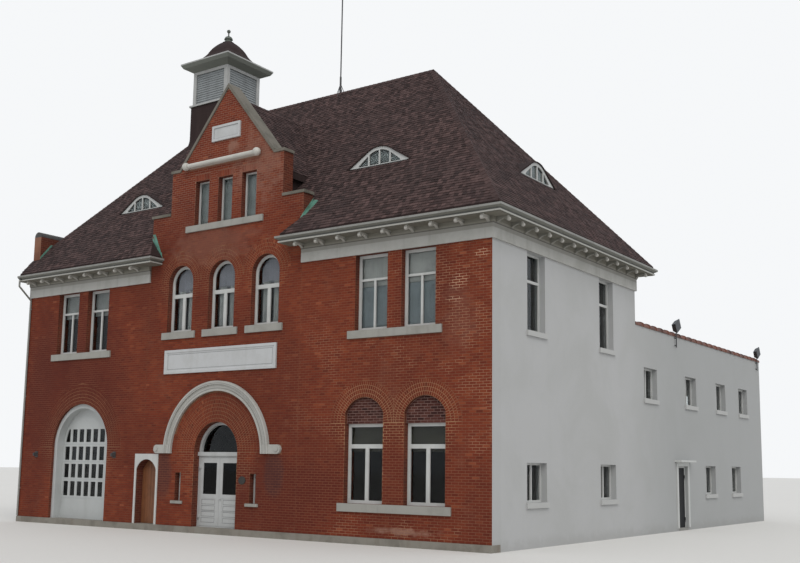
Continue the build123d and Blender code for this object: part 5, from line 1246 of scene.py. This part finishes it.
# %% [markdown]
# ## Clay coping of the wing
# The parapets of the wing end in red clay coping tiles, each with a collar where it laps the
# next. The profile is a low saddle that drips at both sides. It is carried along the wall, and
# its height and width swell at each collar.

# %% Coping tiles
def coping_run(start, end, half=0.205, low=7.165, rise=0.125, pitch=0.61, collar_swell=1.2):
    """Saddle y = half cos(a), z = low + rise sin(a)^0.8, swollen by a fifth at each collar."""
    start, end = np.asarray(start, float), np.asarray(end, float)
    length = np.linalg.norm(end - start)
    line = (end - start) / length
    across = np.array([line[1], -line[0]])
    collars = np.arange(1, int(length / pitch))[:, None] * pitch + [0.0, 0.004, 0.06, 0.064]
    stops = np.concatenate([[0.0], collars.ravel(), [length]])
    swell = np.concatenate([[1], np.tile([1, collar_swell, collar_swell, 1], len(collars)), [1]])
    angle = np.linspace(0, np.pi, 11)
    side = np.concatenate([half * np.cos(angle), [-half, half]])
    top = np.concatenate([rise * np.sin(angle) ** 0.8 + 0.03, [0, 0]])
    centre = start + stops[:, None] * line
    place = centre[:, None] + (side * swell[:, None])[..., None] * across
    height = low + top * np.where(top > 0, swell[:, None], 1)
    points = np.concatenate([place, height[..., None]], -1)
    rows, columns = height.shape
    fan = np.arange(1, columns - 2, 2)
    cap = np.stack([0 * fan, fan, fan + 1, fan + 2], -1)
    return points.reshape(-1, 3), np.concatenate([grid_faces(rows, columns, closed=True), cap,
                                                  (rows - 1) * columns + cap[:, ::-1]])


wall_x = 9.925
coping_lines = [((wall_x, rear + 0.01), (wall_x, wing_end + 0.02)),
                ((wall_x, 19.4), (-wall_x, 19.4)),
                ((-wall_x, wing_end + 0.02), (-wall_x, rear + 0.01))]
coping = add_piece("coping_tiles", *join_parts([coping_run(*line) for line in coping_lines]),
                   "clay_tile", "clay_tile")
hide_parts("wing_coping")

# %% [markdown]
# ## The niche, the plate and what hangs in the windows
# The shallow niche beside the entrance is lined with stained boards. An oval plate, left bare,
# is fixed on the bricks at the other side. Blinds and curtains behind the glass keep the
# windows from looking into an empty house; the near-black sheets in the lower windows are
# painted shade of dark rooms.

# %% Boards in the niche
def niche_boards(centre=-3.17, half=0.483, crown=2.318, rise=0.34, count=7):
    """Upright boards whose tops follow the niche's arch: z = crown - (R - sqrt(R^2 - x^2))."""
    radius = (half ** 2 + rise ** 2) / (2 * rise)
    cuts = np.linspace(-half, half, count + 1)
    left, right = cuts[:-1] + 0.002, cuts[1:] - 0.002
    tops = [crown - (radius - np.sqrt(radius ** 2 - x ** 2)) for x in (left, right)]
    foot = base_top + 0.003
    return outline_array([(centre + left, foot), (centre + right, foot),
                          (centre + right, tops[1]), (centre + left, tops[0])])


lay_blocks("niche_boards", niche_boards(), upright_face(front + 0.3), -0.0005, 0.025,
           "stained_boards", "brick")


# %% Oval plate
def oval_plate(x, z, half_width, half_height, thickness=0.02, around=48):
    """Rings of the ellipse (a cos t, b sin t): back edge, bevel, face, and a sunk field."""
    angle = np.linspace(0, 2 * np.pi, around + 1)[:-1]
    profile = np.array([(1, 0), (1, 0.7), (0.94, 1), (0.84, 1), (0.8, 0.75), (0.4, 0.75)])
    scale, out = profile[:, :1], profile[:, 1:]
    back = front - 0.005
    points = np.stack([x + half_width * scale * np.cos(angle),
                       back - thickness * out * np.ones_like(angle),
                       z + half_height * scale * np.sin(angle)], -1).reshape(-1, 3)
    points = np.vstack([points, [x, back - thickness * 0.75, z], [x, back + 0.001, z]])
    step = np.arange(around)
    following = (step + 1) % around
    rings = grid_faces(len(profile), around, closed=True)[:, [0, 3, 2, 1]]
    last = around * (len(profile) - 1)
    inner = np.stack([last + step, last + following, 0 * step + len(points) - 2], -1)
    outer = np.stack([following, step, 0 * step + len(points) - 1], -1)
    return points, np.concatenate([rings[:, :3], rings[:, [0, 2, 3]], inner, outer])


add_piece("oval_plate", *oval_plate(1.21, 1.70, 0.15, 0.125), "plate_bronze", "lamp_metal")


# %% [markdown]
# A blind or curtain is a sheet on a grid: across it runs a wave whose depth grows downwards for
# a curtain and stays small for a blind. Solidify gives it a thickness.

# %% Blinds and curtains
def hanging_sheet(left, right, low, high, depth, folds, wave, crown=0.0):
    """y = depth + wave (0.4 + 0.6 t) sin(2 pi folds s), t downwards; crown rounds the top."""
    s, t = np.meshgrid(np.linspace(0, 1, max(8 * folds, 12) + 1), np.linspace(0, 1, 9))
    x = left + (right - left) * s
    top = high
    if crown:
        top = high - (crown - np.sqrt(np.maximum(crown ** 2 - (x - (left + right) / 2) ** 2, 0)))
    z = top + (low - top) * t
    y = front + depth + wave * (0.4 + 0.6 * t) * np.sin(2 * np.pi * folds * s)
    return np.stack([x, y, z], -1).reshape(-1, 3), grid_faces(*s.shape)


def sheets_at(places, left, right, *more):
    """One sheet for each place, from left to right of its middle."""
    return [hanging_sheet(x + left, x + right, *more) for x in places]


def eyebrow_sheet(middle, along, base, steps=41):
    """Sheet under an eyebrow's outline, 12 cm inside it: middle is a point on its face."""
    offset = np.linspace(-1.05, 1.05, steps)
    levels = np.full(steps, 0.05), np.maximum(eyebrow_height(offset) - 0.12, 0.06)
    points = np.concatenate([np.asarray(middle) + offset[:, None] * np.asarray(along)
                             + (base + level)[:, None] * np.array([0, 0, 1]) for level in levels])
    return points, grid_faces(2, steps)[:, [0, 3, 2, 1]]


sheets = {
    "pale_blinds": ("pale_blind", sheets_at(upper_windows[2:], -0.53, 0.57, 7.4, 8.32, 0.275, 1,
                                            0.002)
                    + sheets_at(slits, -0.12, 0.12, 1.02, 1.89, 0.275, 1, 0.001)),
    "blue_blinds": ("blue_blind", sheets_at(arched_windows, -0.44, 0.54, 7.9, 8.74, 0.33, 1, 0.002,
                                            0.52)),
    "sheers": ("sheer_cloth", sheets_at(upper_windows[2:], -0.53, 0.57, 6.12, 7.4, 0.285, 2,
                                        0.006)),
    "attic_blinds": ("attic_blind", sheets_at(attic_windows, -0.30, 0.31, 10.1, 11.58, 0.262, 1,
                                              0.002)),
    "grey_blinds": ("grey_blind", sheets_at(upper_windows[:2], -0.50, 0.57, 7.42, 8.32, 0.30, 1,
                                            0.003)),
    # Near-black sheets in the lower windows: painted shade of the dark rooms behind
    "dim_blinds": ("dim_blind", sheets_at(lower_windows, -0.66, 0.67, 2.6, 3.38, 0.29, 1, 0.003)),
    "curtains": ("curtain_cloth", [
        hanging_sheet(x + left, x + left + wide, 6.56, 7.95, 0.31, 4, 0.02)
        for x in arched_windows for left, wide in ((-0.35, 0.3), (0.1, 0.36))]),
    "eyebrow_sheets": ("attic_blind", [
        *[eyebrow_sheet((x, -3.47, 0), (1, 0, 0), front_dormer_base) for x in dormers_x],
        eyebrow_sheet((8.645, side_dormer[0], 0), (0, 1, 0), side_dormer[1])])}
for name, (finish, parts) in sheets.items():
    sheet = add_piece(name, *join_parts(parts), finish, None, smooth=True)
    sheet.modifiers.new("thickness", "SOLIDIFY").thickness = 0.002

# %% [markdown]
# ## Closing
# The number of triangles in the added pieces is printed. Nothing added may reach outside the
# building.

# %% Triangle count and the end
print("added triangles", sum(made_triangles.values()), "in", len(made_triangles), "pieces")
